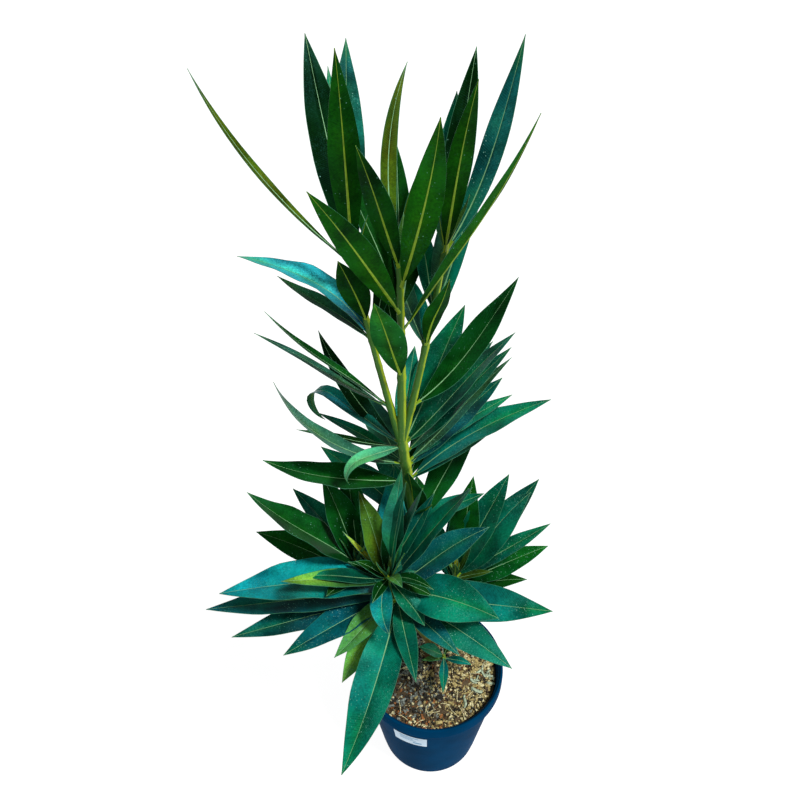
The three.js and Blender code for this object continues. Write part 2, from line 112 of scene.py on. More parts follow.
# Foliage masses: the limb, slim, droop, and its leaves by the height of their node. A leaf is
# its kind, turn, rise and length, with what sets it apart from its mass: turn goes round from
# +X and rise from level, both in degrees from root to tip. slim is width over length, droop
# and bend are how far the midrib curves down and round over its length, curl is how far its
# tip hooks down, and roll turns the blade about it.
MASSES = {
    "crown_centre": ("centre", 0.16, 10, {
        500: [("forest", 255, 60, 105, {"slim": 0.24, "roll": 20}), ("deep", 110, 50, 110)],
        540: [("moss", -15, 62, 180, {"slim": 0.1, "droop": -10, "roll": -20})],
        555: [
            ("deep", 80, 50, 105, {"slim": 0.2}), ("deep", 140, 60, 120),
            ("deep", 247, 50, 162, {"slim": 0.13, "roll": 40}),
        ],
        575: [
            ("deep", 290, 60, 155, {"slim": 0.13, "bend": 30, "roll": -20}), ("deep", 95, 45, 110),
            ("moss", 70, 60, 95),
        ],
        590: [
            ("moss", 90, 55, 140, {"slim": 0.085, "bend": 60, "roll": 20}),
            ("shade", 250, 60, 115, {"roll": 20}),
        ],
    }),
    "crown_left": ("left", 0.15, 10, {
        470: [
            ("forest", 185, 45, 125, {"slim": 0.09, "droop": -10}),
            ("sage", 175, 30, 120, {"slim": 0.09, "droop": -10}),
        ],
        530: [
            ("frost", 165, 27, 117, {"slim": 0.23, "droop": 65}), ("deep", 75, 50, 105),
            ("sage", 165, 30, 84, {"slim": 0.2}),
        ],
        545: [("shade", 250, 60, 75, {"slim": 0.28, "roll": 30})],
        575: [("teal", 105, 50, 160, {"slim": 0.12})],
        590: [
            ("moss", 162, 47, 162, {"slim": 0.055, "droop": -32}),
            ("shade", 113, 55, 160, {"slim": 0.17}), ("shade", 275, 70, 155, {"slim": 0.13}),
            ("slate", 96, 40, 185, {"slim": 0.14, "droop": -20}),
        ],
    }),
    "crown_right": ("right", 0.16, 10, {
        470: [("forest", 30, 45, 130, {"slim": 0.22, "droop": -40})],
        525: [
            ("teal", 62, 52, 150, {"slim": 0.12}), ("shade", 285, 55, 105, {"slim": 0.14}),
            ("sage", 140, 55, 90, {"slim": 0.22}), ("teal", 115, 45, 65, {"slim": 0.3}),
        ],
        555: [("sage", 65, 65, 90), ("teal", 110, 60, 70, {"slim": 0.22})],
        600: [
            ("teal", 85, 55, 110, {"slim": 0.2}),
            ("slate", 50, 60, 145, {"slim": 0.12, "droop": -20, "bend": -20}), ("shade", 75, 60, 135),
            ("deep", 285, 65, 135, {"slim": 0.12}),
        ],
    }),
    "fork_whorl": ("trunk", 0.22, 10, {
        430: [
            ("shade", 150, 46, 117, {"slim": 0.15, "droop": -50}), ("sea", 22, 44, 130),
            ("sea", 60, 42, 130, {"slim": 0.28}), ("sea", 40, 35, 115),
            ("pool", 155, 20, 75, {"slim": 0.24, "droop": 20, "curl": 180}),
            ("shade", 175, 5, 90, {"slim": 0.1, "droop": -20}), ("teal", 85, 35, 90),
            ("frosted", 215, 0, 54, {"slim": 0.22, "droop": 30, "curl": 100, "roll": -20}),
        ],
    }),
    "upper_whorl": ("trunk", 0.18, 20, {
        410: [
            ("sage", 195, 45, 140, {"slim": 0.15, "droop": -60}),
            ("sage", 25, 42, 125, {"slim": 0.12, "droop": -10}), ("teal", 30, 20, 110),
            ("sea", 155, 15, 90, {"slim": 0.14}),
        ],
    }),
    "lower_whorl": ("trunk", 0.22, 20, {
        390: [
            ("forest", 190, 17, 125, {"slim": 0.25, "droop": -30}), ("teal", 20, 25, 140, {"bend": 20}),
            ("sea", 30, 15, 80), ("sage", 120, 15, 120), ("forest", 75, 20, 80),
        ],
    }),
    "rosette_left": ("low_left", 0.28, 10, {
        265: [("forest", 175, 25, 120), ("sea", 160, 50, 120)],
        293: [
            ("forest", 190, 49, 136, {"bend": 30}), ("forest", 145, 68, 98, {"slim": 0.34}),
            ("forest", 105, 65, 100),
        ],
    }),
    "rosette_front": ("low_front", 0.28, 10, {
        265: [
            ("teal", 254, -20, 155, {"slim": 0.24, "droop": 40, "bend": 20}),
            ("sea", 335, -15, 120, {"slim": 0.27, "droop": 30, "roll": 20}),
            ("ink", 198, -2, 155, {"slim": 0.22}), ("teal", 355, 2, 142, {"roll": 20}),
            ("spring", 235, -25, 90),
        ],
        272: [
            ("sea", 285, -8, 85, {"slim": 0.24}), ("ink", 215, -3, 115),
            ("ink", 192, 4, 172, {"slim": 0.21}), ("spring", 235, 0, 85),
        ],
        283: [
            ("teal", 340, 5, 100, {"slim": 0.4, "droop": 20, "roll": 20}),
            ("pool", 195, 12, 155, {"slim": 0.3, "droop": 35}), ("ink", 20, 30, 105, {"slim": 0.3}),
        ],
        296: [
            ("spring", 205, 25, 105, {"slim": 0.2}), ("teal", 15, 55, 125, {"slim": 0.24}),
            ("olive", 130, 60, 90), ("pool", 90, 45, 105, {"slim": 0.25}),
            ("mint", 60, 80, 122, {"slim": 0.2}),
        ],
        301: [
            ("teal", 35, 60, 95, {"slim": 0.19}), ("forest", 330, 20, 50, {"droop": 70}),
            ("pool", 275, -10, 52, {"slim": 0.38, "bend": -60}), ("pool", 100, 30, 75),
            ("forest", 80, 70, 72, {"slim": 0.22}), ("sea", 200, 22, 82, {"slim": 0.22}),
            ("forest", 170, 20, 40, {"slim": 0.26}), ("lime", 155, 40, 60, {"slim": 0.1, "droop": 0}),
            ("deep", 155, 30, 35, {"slim": 0.34}), ("teal", 130, 20, 25, {"slim": 0.4}),
            ("mint", 350, 35, 30, {"slim": 0.3}),
        ],
    }),
    "rosette_right": ("low_right", 0.28, 10, {
        258: [
            ("deep", 0, 10, 70), ("bright", 15, 20, 98, {"roll": 20}), ("deep", 10, 15, 50),
            ("teal", 20, 30, 110, {"slim": 0.18}), ("teal", 120, 30, 90),
        ],
        268: [
            ("sea", 40, 35, 125), ("sea", 35, 40, 110, {"slim": 0.34}), ("deep", 35, 30, 85),
            ("sea", 45, 55, 115), ("forest", 75, 55, 100), ("olive", 350, 30, 40),
        ],
    }),
    "sucker": ("sucker", 0.3, 20, {
        138: [("spring", 195, 10, 25), ("pool", 345, 5, 30)],
        144: [
            ("mint", 185, 35, 32, {"slim": 0.5}), ("pool", 270, -10, 38, {"slim": 0.25}),
            ("olive", 60, 30, 30),
        ],
    }),
    "back_whorl": ("trunk", 0.23, 20, {
        330: [
            ("forest", 60, 25, 130), ("sea", 115, 20, 135), ("teal", 140, 10, 130),
            ("teal", 20, 20, 70, {"slim": 0.28}),
        ],
    }),
    "low_back_whorl": ("trunk", 0.25, 30, {
        250: [("sea", 45, 10, 130), ("forest", 95, 5, 140), ("sea", 145, 10, 135)],
    }),
}

# Small inner leaves that close the masses round their stems.
INNER_LEAVES = {
    "back_whorl": {
        330: [("teal", 250, 78, 84, {"slim": 0.28}), ("forest", 300, 62, 62)],
    },
    "fork_whorl": {
        420: [("sea", 25, 42, 125, {"slim": 0.23})],
        404: [("ink", 32, 34, 112, {"slim": 0.27})],
    },
    "rosette_front": {
        296: [("sea", 25, 82, 118, {"slim": 0.17}), ("teal", 5, 76, 118, {"slim": 0.19})],
        265: [("ink", 318, -8, 78, {"slim": 0.26}), ("sea", 150, 5, 70), ("forest", 40, 20, 75)],
        301: [
            ("spring", 300, 35, 34, {"slim": 0.34, "droop": 60}),
            ("forest", 250, 10, 34, {"slim": 0.34, "droop": 50}),
            ("mint", 30, 30, 40, {"slim": 0.3, "droop": 50}), ("deep", 190, 45, 40, {"slim": 0.3}),
            ("sea", 322, -35, 52, {"slim": 0.36, "droop": 20}),
            ("deep", 345, -10, 42, {"slim": 0.36, "droop": 30}),
        ],
    },
    "rosette_left": {
        285: [("ink", 60, 40, 70), ("deep", 250, 30, 75)],
    },
    "rosette_right": {
        262: [("ink", 90, 30, 80), ("forest", 300, 20, 60)],
    },
}

# Leaf shape: the leaf stalk's width and share of the length, how far the halves fold up from
# the midrib, and the columns of points as shares of the way from the rib to the edge.
PETIOLE_WIDTH = 3.0
PETIOLE_SHARE = 0.05
LEAF_FOLD = 0.22
LEAF_COLUMNS = (0.28, 0.5, 0.72, 0.88)
MIDRIB_STEPS = 60
CHANCE_PRIME = 2 ** 31 - 1
# Old leaf scars ring a limb at this spacing.
SCAR_GAP = 27
# The young leaves at a bough's tip: kind, length, rise, and how far each three are turned round.
YOUNG_LEAVES = (("spring", 34, 68, 60), ("lime", 19, 80, 120))
TIP_SHARE = 0.985

# The colours of the crumbs of potting mix, and of the husk.
MIX_TONES = {
    "mix_grey": (0.16, 0.18, 0.16),
    "mix_dark": (0.02, 0.018, 0.014),
    "mix_brown": (0.085, 0.058, 0.03),
    "mix_rust": (0.26, 0.1, 0.03),
    "mix_tan": (0.4, 0.32, 0.13),
    "mix_cream": (0.66, 0.6, 0.34),
}
HUSK_TONE = (0.4, 0.48, 0.34)
# Where the trunk and the sucker rise from the mix, and how far no crumb comes near.
STEM_SPACE = (((1, 16), 9), ((14, 5), 3))

CRUMB_CORNERS = [
    (-1, -1, -1), (1, -1, -1), (1, 1, -1), (-1, 1, -1), (-1, -1, 1), (1, -1, 1), (1, 1, 1), (-1, 1, 1),
]
CRUMB_FACES = [(3, 2, 1, 0), (4, 5, 6, 7), (0, 1, 5, 4), (1, 2, 6, 5), (2, 3, 7, 6), (3, 0, 4, 7)]


# ---- settings


def colour_prop(name, description, *value):
    return bpy.props.FloatVectorProperty(
        name=name, description=description, default=value, size=3, min=0.0, max=1.0, subtype="COLOR"
    )


def length_prop(name, description, value):
    return bpy.props.FloatProperty(name=name, description=description, default=value, min=0.0, unit="LENGTH")


def share_prop(name, description, value):
    return bpy.props.FloatProperty(
        name=name, description=description, default=value, min=0.0, max=1.0, subtype="FACTOR"
    )


def count_prop(name, description, value, least=0):
    return bpy.props.IntProperty(name=name, description=description, default=value, min=least)


def number_prop(name, description, value):
    return bpy.props.FloatProperty(name=name, description=description, default=value, min=0.0)


def angle_prop(name, description, degrees):
    return bpy.props.FloatProperty(
        name=name, description=description, default=math.radians(degrees), subtype="ANGLE"
    )


class PotSettings(bpy.types.PropertyGroup):
    height: length_prop("Height", "Height of the pot", POT_BOX[1].z)
    rim_radius: length_prop("Rim radius", "Outer radius of the lip", POT_BOX[1].x)
    foot_radius: length_prop("Foot radius", "Radius of the wall at the floor", 54 * MM)
    wall: length_prop("Wall", "Thickness of the wall", 2.2 * MM)
    lip_height: length_prop("Lip height", "Height of the band round the rim", 14 * MM)
    lip_step: length_prop("Lip step", "How far the band stands out of the wall", 1.6 * MM)
    sides: count_prop("Sides", "Facets round the pot", 120, 24)
    holes: count_prop("Drain holes", "Holes in the floor", 6)
    colour: colour_prop("Plastic", "Colour of the moulded plastic", 0.0, 0.032, 0.088)
    dust: share_prop("Dust", "How much dried soil dust lies on the wall", 0.05)
    paper: colour_prop("Sticker", "Colour of the blank sticker", 0.56, 0.72, 0.86)
    print_colour: colour_prop("Lines", "Colour of the plain lines on the sticker", 0.1, 0.3, 0.5)


class MixSettings(bpy.types.PropertyGroup):
    grit: count_prop("Grit", "Number of small stones", 6200)
    chips: count_prop("Bark chips", "Number of bark chips", 420)
    fibres: count_prop("Fibres", "Number of coir fibres", 190)
    flakes: count_prop("Dry flakes", "Number of pale dry flakes", 18)
    relief: length_prop("Relief", "Unevenness of the bed under the chips", 3 * MM)
    seed: count_prop("Seed", "Seed of the scatter", 11)


class LimbSettings(bpy.types.PropertyGroup):
    sides: count_prop("Sides", "Facets round a limb", 20, 8)
    step: length_prop("Step", "Distance between two rings of a limb", 2 * MM)
    swelling: share_prop("Node swelling", "How far a leaf node stands out of the limb", 0.16)
    relief: length_prop("Bark relief", "Depth of the bark's wrinkles", 0.35 * MM)
    old_bark: colour_prop("Old bark", "Bark at the plant's foot", 0.22, 0.12, 0.045)
    young_bark: colour_prop("Young bark", "Bark of the green stems", 0.03, 0.12, 0.006)
    # Painted light: the yellow of the green stems on the side that faces the key light.
    sunny_bark: colour_prop("Sunny bark", "Green stems on their sunny side", 0.32, 0.42, 0.012)
    shoot: colour_prop("Shoot", "Skin of the newest shoots", 0.16, 0.22, 0.02)


class LeafSettings(bpy.types.PropertyGroup):
    rings: count_prop("Rings", "Steps along a leaf", 28, 6)
    thickness: length_prop("Thickness", "Thickness of the blade", 0.5 * MM)
    rib: length_prop("Rib", "Half width of the midrib on the upper side", 0.6 * MM)
    back_rib: length_prop("Back rib", "Half width of the midrib on the underside", 1.15 * MM)
    vein_gap: length_prop("Vein gap", "Distance between two side veins", 1.5 * MM)
    specks: share_prop("Specks", "How many pale water marks lie on the blades", 0.35)
    # The shade green is leaf green darkened as in the crown's shade: painted shade.
    blade_shade: colour_prop("Shade", "Darkest green of the crown", 0.001, 0.014, 0.001)
    blade_deep: colour_prop("Deep", "Deep green", 0.003, 0.042, 0.002)
    blade_forest: colour_prop("Forest", "Cool deep green", 0.002, 0.055, 0.005)
    # The blue in the sea, teal, pool, ink, slate and frost greens is partly the leaves' own hue and partly a
    # painted reflection of blue sky.
    blade_sea: colour_prop("Sea", "Sea green", 0.001, 0.098, 0.045)
    blade_teal: colour_prop("Teal", "Blue-green", 0.001, 0.125, 0.07)
    blade_pool: colour_prop("Pool", "Bright blue-green", 0.002, 0.19, 0.16)
    blade_ink: colour_prop("Ink", "Dark blue-green", 0.001, 0.07, 0.068)
    blade_slate: colour_prop("Slate", "Greyish blue-green", 0.004, 0.085, 0.06)
    blade_sage: colour_prop("Sage", "Greyish green", 0.018, 0.098, 0.05)
    blade_moss: colour_prop("Moss", "Olive green", 0.03, 0.07, 0.002)
    blade_olive: colour_prop("Olive", "Yellowish olive green", 0.05, 0.12, 0.008)
    blade_bright: colour_prop("Bright", "Bright green", 0.002, 0.085, 0.008)
    blade_spring: colour_prop("Spring", "Light young green", 0.065, 0.23, 0.035)
    blade_lime: colour_prop("Lime", "Yellow-green of the newest leaves", 0.2, 0.36, 0.02)
    blade_mint: colour_prop("Mint", "Pale cool green", 0.02, 0.27, 0.12)
    blade_frost: colour_prop("Frost", "Pale sky blue-green", 0.02, 0.34, 0.36)
    blade_frosted: colour_prop("Frosted", "Palest green of a curled leaf", 0.06, 0.3, 0.11)
    back_dark: colour_prop("Dark underside", "Underside in shade", 0.003, 0.045, 0.001)
    back_bright: colour_prop("Bright underside", "Underside in light", 0.005, 0.062, 0.001)
    back_fresh: colour_prop("Fresh underside", "Cool light underside", 0.008, 0.09, 0.01)
    back_pale: colour_prop("Pale underside", "Palest underside", 0.04, 0.2, 0.075)
    back_frost: colour_prop("Frost underside", "Underside of the frost leaf", 0.05, 0.22, 0.12)
    rib_pale: colour_prop("Pale midrib", "Midrib on the upper side", 0.2, 0.44, 0.2)
    rib_yellow: colour_prop("Yellow midrib", "Midrib on the underside, and the leaf stalk", 0.19, 0.32, 0.008)
    edge_pale: colour_prop("Pale edge", "Thin edge of the blade", 0.03, 0.17, 0.085)


class StageSettings(bpy.types.PropertyGroup):
    floor_colour: colour_prop("Floor", "Colour of the plain floor", 0.2, 0.2, 0.2)
    floor_glow: number_prop("Floor glow", "Light of the floor's own, which lightens its shadows", 0.94)
    sky: number_prop("Sky", "Strength of the even light", 0.33)
    key: number_prop("Key", "Strength of the wide light from the right", 3.3)
    key_spread: angle_prop("Key spread", "Angle that the key light fills", 12)
    lens: bpy.props.FloatProperty(
        name="Lens", description="Focal length", default=31.5, min=1.0, unit="CAMERA"
    )
    pitch: angle_prop("Pitch", "How far the camera looks down", 36.5)
    heading: angle_prop("Heading", "Camera's turn from +Y towards +X", -3.9)
    roll: angle_prop("Roll", "Camera's turn about its own axis", -0.7)


# ---- modelling helpers


def settings(name):
    return getattr(bpy.context.scene, f"oleander_{name}")


def deselect_all():
    bpy.ops.object.select_all(action="DESELECT")


def only(piece):
    """Makes one object the only selected and the active one."""
    deselect_all()
    piece.select_set(True)
    bpy.context.view_layer.objects.active = piece


def place_at_origin(piece):
    """Moves the object's place, turn and scale into its mesh."""
    only(piece)
    bpy.ops.object.transform_apply(location=True, rotation=True, scale=True)


def modify(piece, kind, name, **values):
    """Adds a modifier and applies it."""
    modifier = piece.modifiers.new(name, kind)
    for key, value in values.items():
        setattr(modifier, key, value)
    only(piece)
    bpy.ops.object.modifier_apply(modifier=name)


def cloud_texture(name, scale):
    texture = bpy.data.textures.get(name) or bpy.data.textures.new(name, "CLOUDS")
    texture.noise_scale = scale
    return texture


def extrude_rings(name, rings, sides):
    """A closed form drawn up from a disc: each ring is a centre and a radius, in metres."""
    deselect_all()
    centre, radius = rings[0]
    bpy.ops.mesh.primitive_circle_add(vertices=sides, radius=radius, fill_type="NGON", location=centre)
    piece = bpy.context.active_object
    piece.name = name
    piece.data.name = name
    bpy.ops.object.mode_set(mode="EDIT")
    bpy.ops.mesh.select_all(action="SELECT")
    for next_centre, next_radius in rings[1:]:
        step = Vector(next_centre) - Vector(centre)
        bpy.ops.mesh.extrude_region_move(TRANSFORM_OT_translate={"value": step})
        scale = next_radius / radius
        bpy.ops.transform.resize(value=(scale, scale, 1), center_override=next_centre)
        centre, radius = next_centre, next_radius
    bpy.ops.mesh.select_all(action="SELECT")
    bpy.ops.mesh.normals_make_consistent(inside=False)
    bpy.ops.object.mode_set(mode="OBJECT")
    place_at_origin(piece)
    return piece


def smooth(piece, degrees):
    only(piece)
    bpy.ops.object.shade_smooth_by_angle(angle=math.radians(degrees))


def mesh_piece(name, points, quads, slots, materials, uv_maps=None, is_smooth=True):
    """A mesh of quads from arrays, with a material for each face. Points are in metres."""
    mesh = bpy.data.meshes.new(name)
    mesh.vertices.add(len(points))
    mesh.vertices.foreach_set("co", np.asarray(points, np.float32).ravel())
    quads = np.asarray(quads, np.int32)
    mesh.loops.add(quads.size)
    mesh.loops.foreach_set("vertex_index", quads.ravel())
    mesh.polygons.add(len(quads))
    mesh.polygons.foreach_set("loop_start", np.arange(0, quads.size, quads.shape[1], dtype=np.int32))
    mesh.polygons.foreach_set("material_index", np.asarray(slots, np.int32))
    mesh.polygons.foreach_set("use_smooth", np.full(len(quads), is_smooth))
    for map_name, places in (uv_maps or {}).items():
        layer = mesh.uv_layers.new(name=map_name)
        layer.uv.foreach_set("vector", np.asarray(places, np.float32)[quads.ravel()].ravel())
    mesh.update(calc_edges=True)
    mesh.validate()
    piece = bpy.data.objects.new(name, mesh)
    bpy.context.collection.objects.link(piece)
    for material in materials:
        mesh.materials.append(material)
    return piece


def dress(piece, material):
    piece.data.materials.clear()
    piece.data.materials.append(material)


def seat(piece, slot, *nodes):
    """The piece rides on the plant's one body and stands for CAD nodes. Its slot is not used."""
    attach(piece, "root")
    if nodes:
        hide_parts(*nodes)


# ---- shader helpers


class Flow:
    """A node's output. Arithmetic with it adds the nodes that do the sum."""

    def __init__(self, graph, socket):
        self.graph = graph
        self.socket = socket

    def __add__(self, other):
        return self.graph.maths("ADD", self, other)

    def __sub__(self, other):
        return self.graph.maths("SUBTRACT", self, other)

    def __mul__(self, other):
        return self.graph.maths("MULTIPLY", self, other)

    def __truediv__(self, other):
        return self.graph.maths("DIVIDE", self, other)


class Graph:
    """A node tree that is being built. Its values are numbers, colours, vectors or flows."""

    def __init__(self, tree):
        self.tree = tree

    @cached_property
    def place(self):
        return self.flow("TexCoord", out="Object")

    def fill(self, socket, value):
        if isinstance(value, Flow):
            self.tree.links.new(value.socket, socket)
        else:
            socket.default_value = value

    def node(self, kind, inputs=None, **values):
        node = self.tree.nodes.new(f"ShaderNode{kind}")
        for key, value in values.items():
            setattr(node, key, value)
        for key, value in (inputs or {}).items():
            self.fill(node.inputs[key], value)
        return node

    def flow(self, kind, inputs=None, out=0, **values):
        """One output of a new node."""
        return Flow(self, self.node(kind, inputs, **values).outputs[out])

    def maths(self, operation, *values):
        return self.flow("Math", dict(enumerate(values)), operation=operation)

    def mix(self, share, first, second):
        return self.flow("Mix", {0: share, 6: first, 7: second}, out=2, data_type="RGBA")

    def lit(self, tone, strength):
        """The colour made lighter or darker."""
        return self.flow("VectorMath", {0: tone, "Scale": strength}, operation="SCALE")

    def scaled(self, tone, scale, extra=(0.0, 0.0, 0.0)):
        """The colour with each of its channels multiplied, and a little added."""
        return self.flow("VectorMath", {0: tone, 1: scale, 2: extra}, operation="MULTIPLY_ADD")

    def ramp(self, value, low, high, to_low=0.0, to_high=1.0):
        """A clamped step from to_low at low to to_high at high."""
        return self.flow("MapRange", {
            "Value": value, "From Min": low, "From Max": high, "To Min": to_low, "To Max": to_high,
        })

    def noise(self, scale, detail=3.0, roughness=0.55, place=None):
        return self.flow("TexNoise", {
            "Vector": place or self.place, "Scale": scale, "Detail": detail, "Roughness": roughness,
        })

    def cells(self, scale, place=None):
        """The outputs of a pattern of cells."""
        node = self.node("TexVoronoi", {"Vector": place or self.place, "Scale": scale})
        return Flow(self, node.outputs["Distance"]), Flow(self, node.outputs["Color"])

    def part(self, vector, axis):
        return self.flow("SeparateXYZ", {"Vector": vector}, out=axis)

    def stretched(self, *scale):
        return self.flow("Mapping", {"Vector": self.place, "Scale": scale})


def socket_kind(name):
    return "NodeSocketColor" if name == "Colour" else "NodeSocketFloat"


class Group(Graph):
    """A shader node group. Its inputs and outputs are numbers, and the colour named Colour."""

    def __init__(self, name, **defaults):
        super().__init__(bpy.data.node_groups.new(name, "ShaderNodeTree"))
        for key, default in defaults.items():
            title = key.replace("_", " ")
            socket = self.tree.interface.new_socket(title, in_out="INPUT", socket_type=socket_kind(title))
            socket.default_value = default
        self.entry = self.tree.nodes.new("NodeGroupInput")

    def taken(self, title):
        return Flow(self, self.entry.outputs[title])

    def give(self, **results):
        for title in results:
            self.tree.interface.new_socket(title, in_out="OUTPUT", socket_type=socket_kind(title))
        last = self.tree.nodes.new("NodeGroupOutput")
        for title, value in results.items():
            self.fill(last.inputs[title], value)
        return self.tree


class Finish(Graph):
    """A material with its Principled shader; uniform values go on the shader's own sockets."""

    def __init__(self, name, **uniform):
        self.material = bpy.data.materials.new(name)
        self.material.use_nodes = True
        super().__init__(self.material.node_tree)
        self.set(**uniform)

    def set(self, **values):
        shader = self.tree.nodes["Principled BSDF"]
        for key, value in values.items():
            self.fill(shader.inputs[key.replace("_", " ")], value)

    def surface(self, name, build, **inputs):
        """The outputs of a node group, which is built once."""
        node = self.node("Group", node_tree=bpy.data.node_groups.get(name) or build(name))
        for key, value in inputs.items():
            self.fill(node.inputs[key.replace("_", " ")], value)
        return {socket.name: Flow(self, socket) for socket in node.outputs}

    def bump(self, height, distance):
        """Adds relief, as the last step, and returns the material."""
        self.set(Normal=self.flow("Bump", {"Strength": 1.0, "Distance": distance, "Height": height}))
        return self.material


# ---- finishes


def opaque(tone):
    return (*tone, 1.0)


def build_leaf_surface(name):
    """Mottled blade colour with side veins and water marks, with painted shade and a painted highlight."""
    group = Group(
        name, Colour=(0.01, 0.1, 0.02, 1), Vein_gap=1.5 * MM, Vein_strength=0.3, Specks=0.3, Roughness=0.4
    )
    noise, ramp = group.noise, group.ramp
    colour = group.taken("Colour")
    blade = group.flow("UVMap", uv_map="blade")
    aside, along = group.part(blade, "X"), group.part(blade, "Y")
    across = group.maths("ABSOLUTE", aside)
    # The hue drifts from a warm green by the midrib to a cool blue in patches.
    cool = group.scaled(colour, (0.7, 0.85, 1.4))
    warm = group.scaled(colour, (2.6, 1.25, 0.4))
    drift = noise(21.0, 2.0)
    hue = group.mix(ramp(drift, 0.42, 0.76), colour, cool)
    near_rib = ramp(across, 0.5 * MM, 7 * MM, 0.55, 0.0)
    hue = group.mix(near_rib * ramp(drift, 0.58, 0.4), hue, warm)
    # Painted light and shade: one half of the blade is painted a little lighter, as light falls on the fold,
    # and the blade is painted darker towards its stalk, where less light reaches.
    half = ramp(aside, -1.5 * MM, 1.5 * MM, 0.86, 1.14)
    inner = ramp(along, 4 * MM, 50 * MM, 0.38, 1.05)
    broad_tone_and_painted_shade = ramp(noise(34.0, 2.0), 0.32, 0.68, 0.34, 1.5) * (half * inner)
    fine = ramp(noise(560.0), 0.28, 0.72, 0.62, 1.42)
    lit = group.lit(hue, broad_tone_and_painted_shade * fine)
    # Side veins leave the midrib at a steep angle and are unevenly clear.
    slant = along - across * 0.5 + noise(120.0, 2.0) * (1.3 * MM)
    vein = ramp(group.maths("SINE", slant / group.taken("Vein gap") * TURN), 0.6, 1.0)
    clear = ramp(noise(60.0, 2.0), 0.35, 0.65, 0.25, 1.0)
    vein_share = vein * clear * group.taken("Vein strength")
    # Painted highlight: a pale sheen in long soft patches between the midrib and the edge, standing in for
    # reflected light.
    sheen = ramp(noise(27.0, 1.0), 0.54, 0.7, 0.0, 0.5) * ramp(across, 0.5 * MM, 4 * MM)
    with_painted_highlight = group.mix(sheen, lit, group.scaled(hue, (1.5, 1.8, 1.75), (0.001, 0.006, 0.004)))
    veined = group.mix(vein_share, with_painted_highlight, group.scaled(hue, (2.6, 2.1, 2.0), (0.012, 0.04, 0.02)))
    # Dried water marks: many small specks in patches, and a faint bloom.
    distance, chosen = group.cells(720.0)
    specks = group.taken("Specks")
    rare = group.maths("LESS_THAN", group.part(chosen, "X"), specks * 0.5)
    faint = ramp(distance, 0.14, 0.34, 1.0, 0.0) * group.part(chosen, "Y")
    marks = rare * faint * ramp(noise(30.0, 1.0), 0.42, 0.6)
    marked = group.mix(marks, veined, (0.24, 0.58, 0.46, 1))
    bloom = ramp(noise(900.0, 1.0), 0.5, 0.75, 0.0, 0.6) * ramp(noise(26.0, 2.0), 0.5, 0.68) * specks
    return group.give(
        Colour=group.mix(bloom, marked, (0.08, 0.42, 0.32, 1)),
        Roughness=group.taken("Roughness") + marks * 0.3 + ramp(broad_tone_and_painted_shade, 0.6, 1.4, -0.06, 0.06),
        Height=vein_share * 0.8 + fine * 0.4,
    )


def build_rib_surface(name):
    """Streaks along a rib, stalk or edge."""
    group = Group(name, Colour=(0.2, 0.3, 0.1, 1), Contrast=0.3)
    streak = group.noise(260.0, 2.0)
    strength = (streak - 0.5) * group.taken("Contrast") * 3.0 + 1.0
    return group.give(Colour=group.lit(group.taken("Colour"), strength), Height=streak)


def leaf_material(name, tone, roughness, shine, vein_strength, specks):
    finish = Finish(name, Roughness=roughness, Specular_IOR_Level=shine, Specular_Tint=(0.15, 1.0, 0.85, 1.0))
    blade = finish.surface(
        "leaf_surface", build_leaf_surface, Colour=opaque(tone), Vein_gap=settings("leaf").vein_gap,
        Vein_strength=vein_strength, Specks=specks, Roughness=roughness,
    )
    finish.set(Base_Color=blade["Colour"], Roughness=blade["Roughness"])
    return finish.bump(blade["Height"], 0.12 * MM)


def rib_material(name, tone, contrast):
    finish = Finish(name, Roughness=0.5, Specular_IOR_Level=0.3)
    rib = finish.surface("rib_surface", build_rib_surface, Colour=opaque(tone), Contrast=contrast)
    finish.set(Base_Color=rib["Colour"])
    return finish.bump(rib["Height"], 0.1 * MM)


def leaf_finish(name):
    """The leaf material of this name, made once."""
    if name in bpy.data.materials:
        return bpy.data.materials[name]
    look = settings("leaf")
    tone = getattr(look, name)
    part, kind = name.split("_")
    if part == "back":
        return leaf_material(name, tone, 0.6, 0.03, 0.2, look.specks * 0.3)
    if part == "blade" and kind in DULL_KINDS:
        return leaf_material(name, tone, 0.38, 0.03, 0.4, look.specks * 0.45)
    if part == "blade":
        return leaf_material(name, tone, 0.38, 0.13, 0.4, look.specks * 1.9)
    return rib_material(name, tone, {"rib_pale": 0.3, "rib_yellow": 0.35, "edge_pale": 0.5}[name])


def bark_material():
    """Brown and wrinkled at the foot, olive green with pale pores above, painted yellow on the side that
    faces the key light.
    """
    look = settings("limb")
    finish = Finish("bark", Roughness=0.6, Specular_IOR_Level=0.35)
    mix, noise, ramp = finish.mix, finish.noise, finish.ramp
    age = ramp(finish.part(finish.place, "Z") + noise(60.0) * 0.05, 0.16, 0.25)
    streaks = noise(1.0, 4.0, place=finish.stretched(420.0, 420.0, 45.0))
    old = mix(ramp(streaks, 0.3, 0.7), (0.09, 0.045, 0.015, 1), opaque(look.old_bark))
    # Painted light: the side of the green stems that faces the key light from +X is painted yellow.
    sunny = finish.part(finish.flow("NewGeometry", out="Normal"), "X")
    lean = ramp(sunny + streaks * 0.8, 0.75, 1.2)
    young = mix(lean, opaque(look.young_bark), opaque(look.sunny_bark))
    distance, _ = finish.cells(420.0, finish.stretched(1.0, 1.0, 0.4))
    pore = ramp(distance, 0.1, 0.22, 0.22, 0.0)
    finish.set(
        Base_Color=mix(pore, mix(age, old, young), (0.3, 0.28, 0.1, 1)),
        Roughness=ramp(streaks, 0.3, 0.7, 0.5, 0.75),
    )
    return finish.bump(streaks + pore, 0.3 * MM)


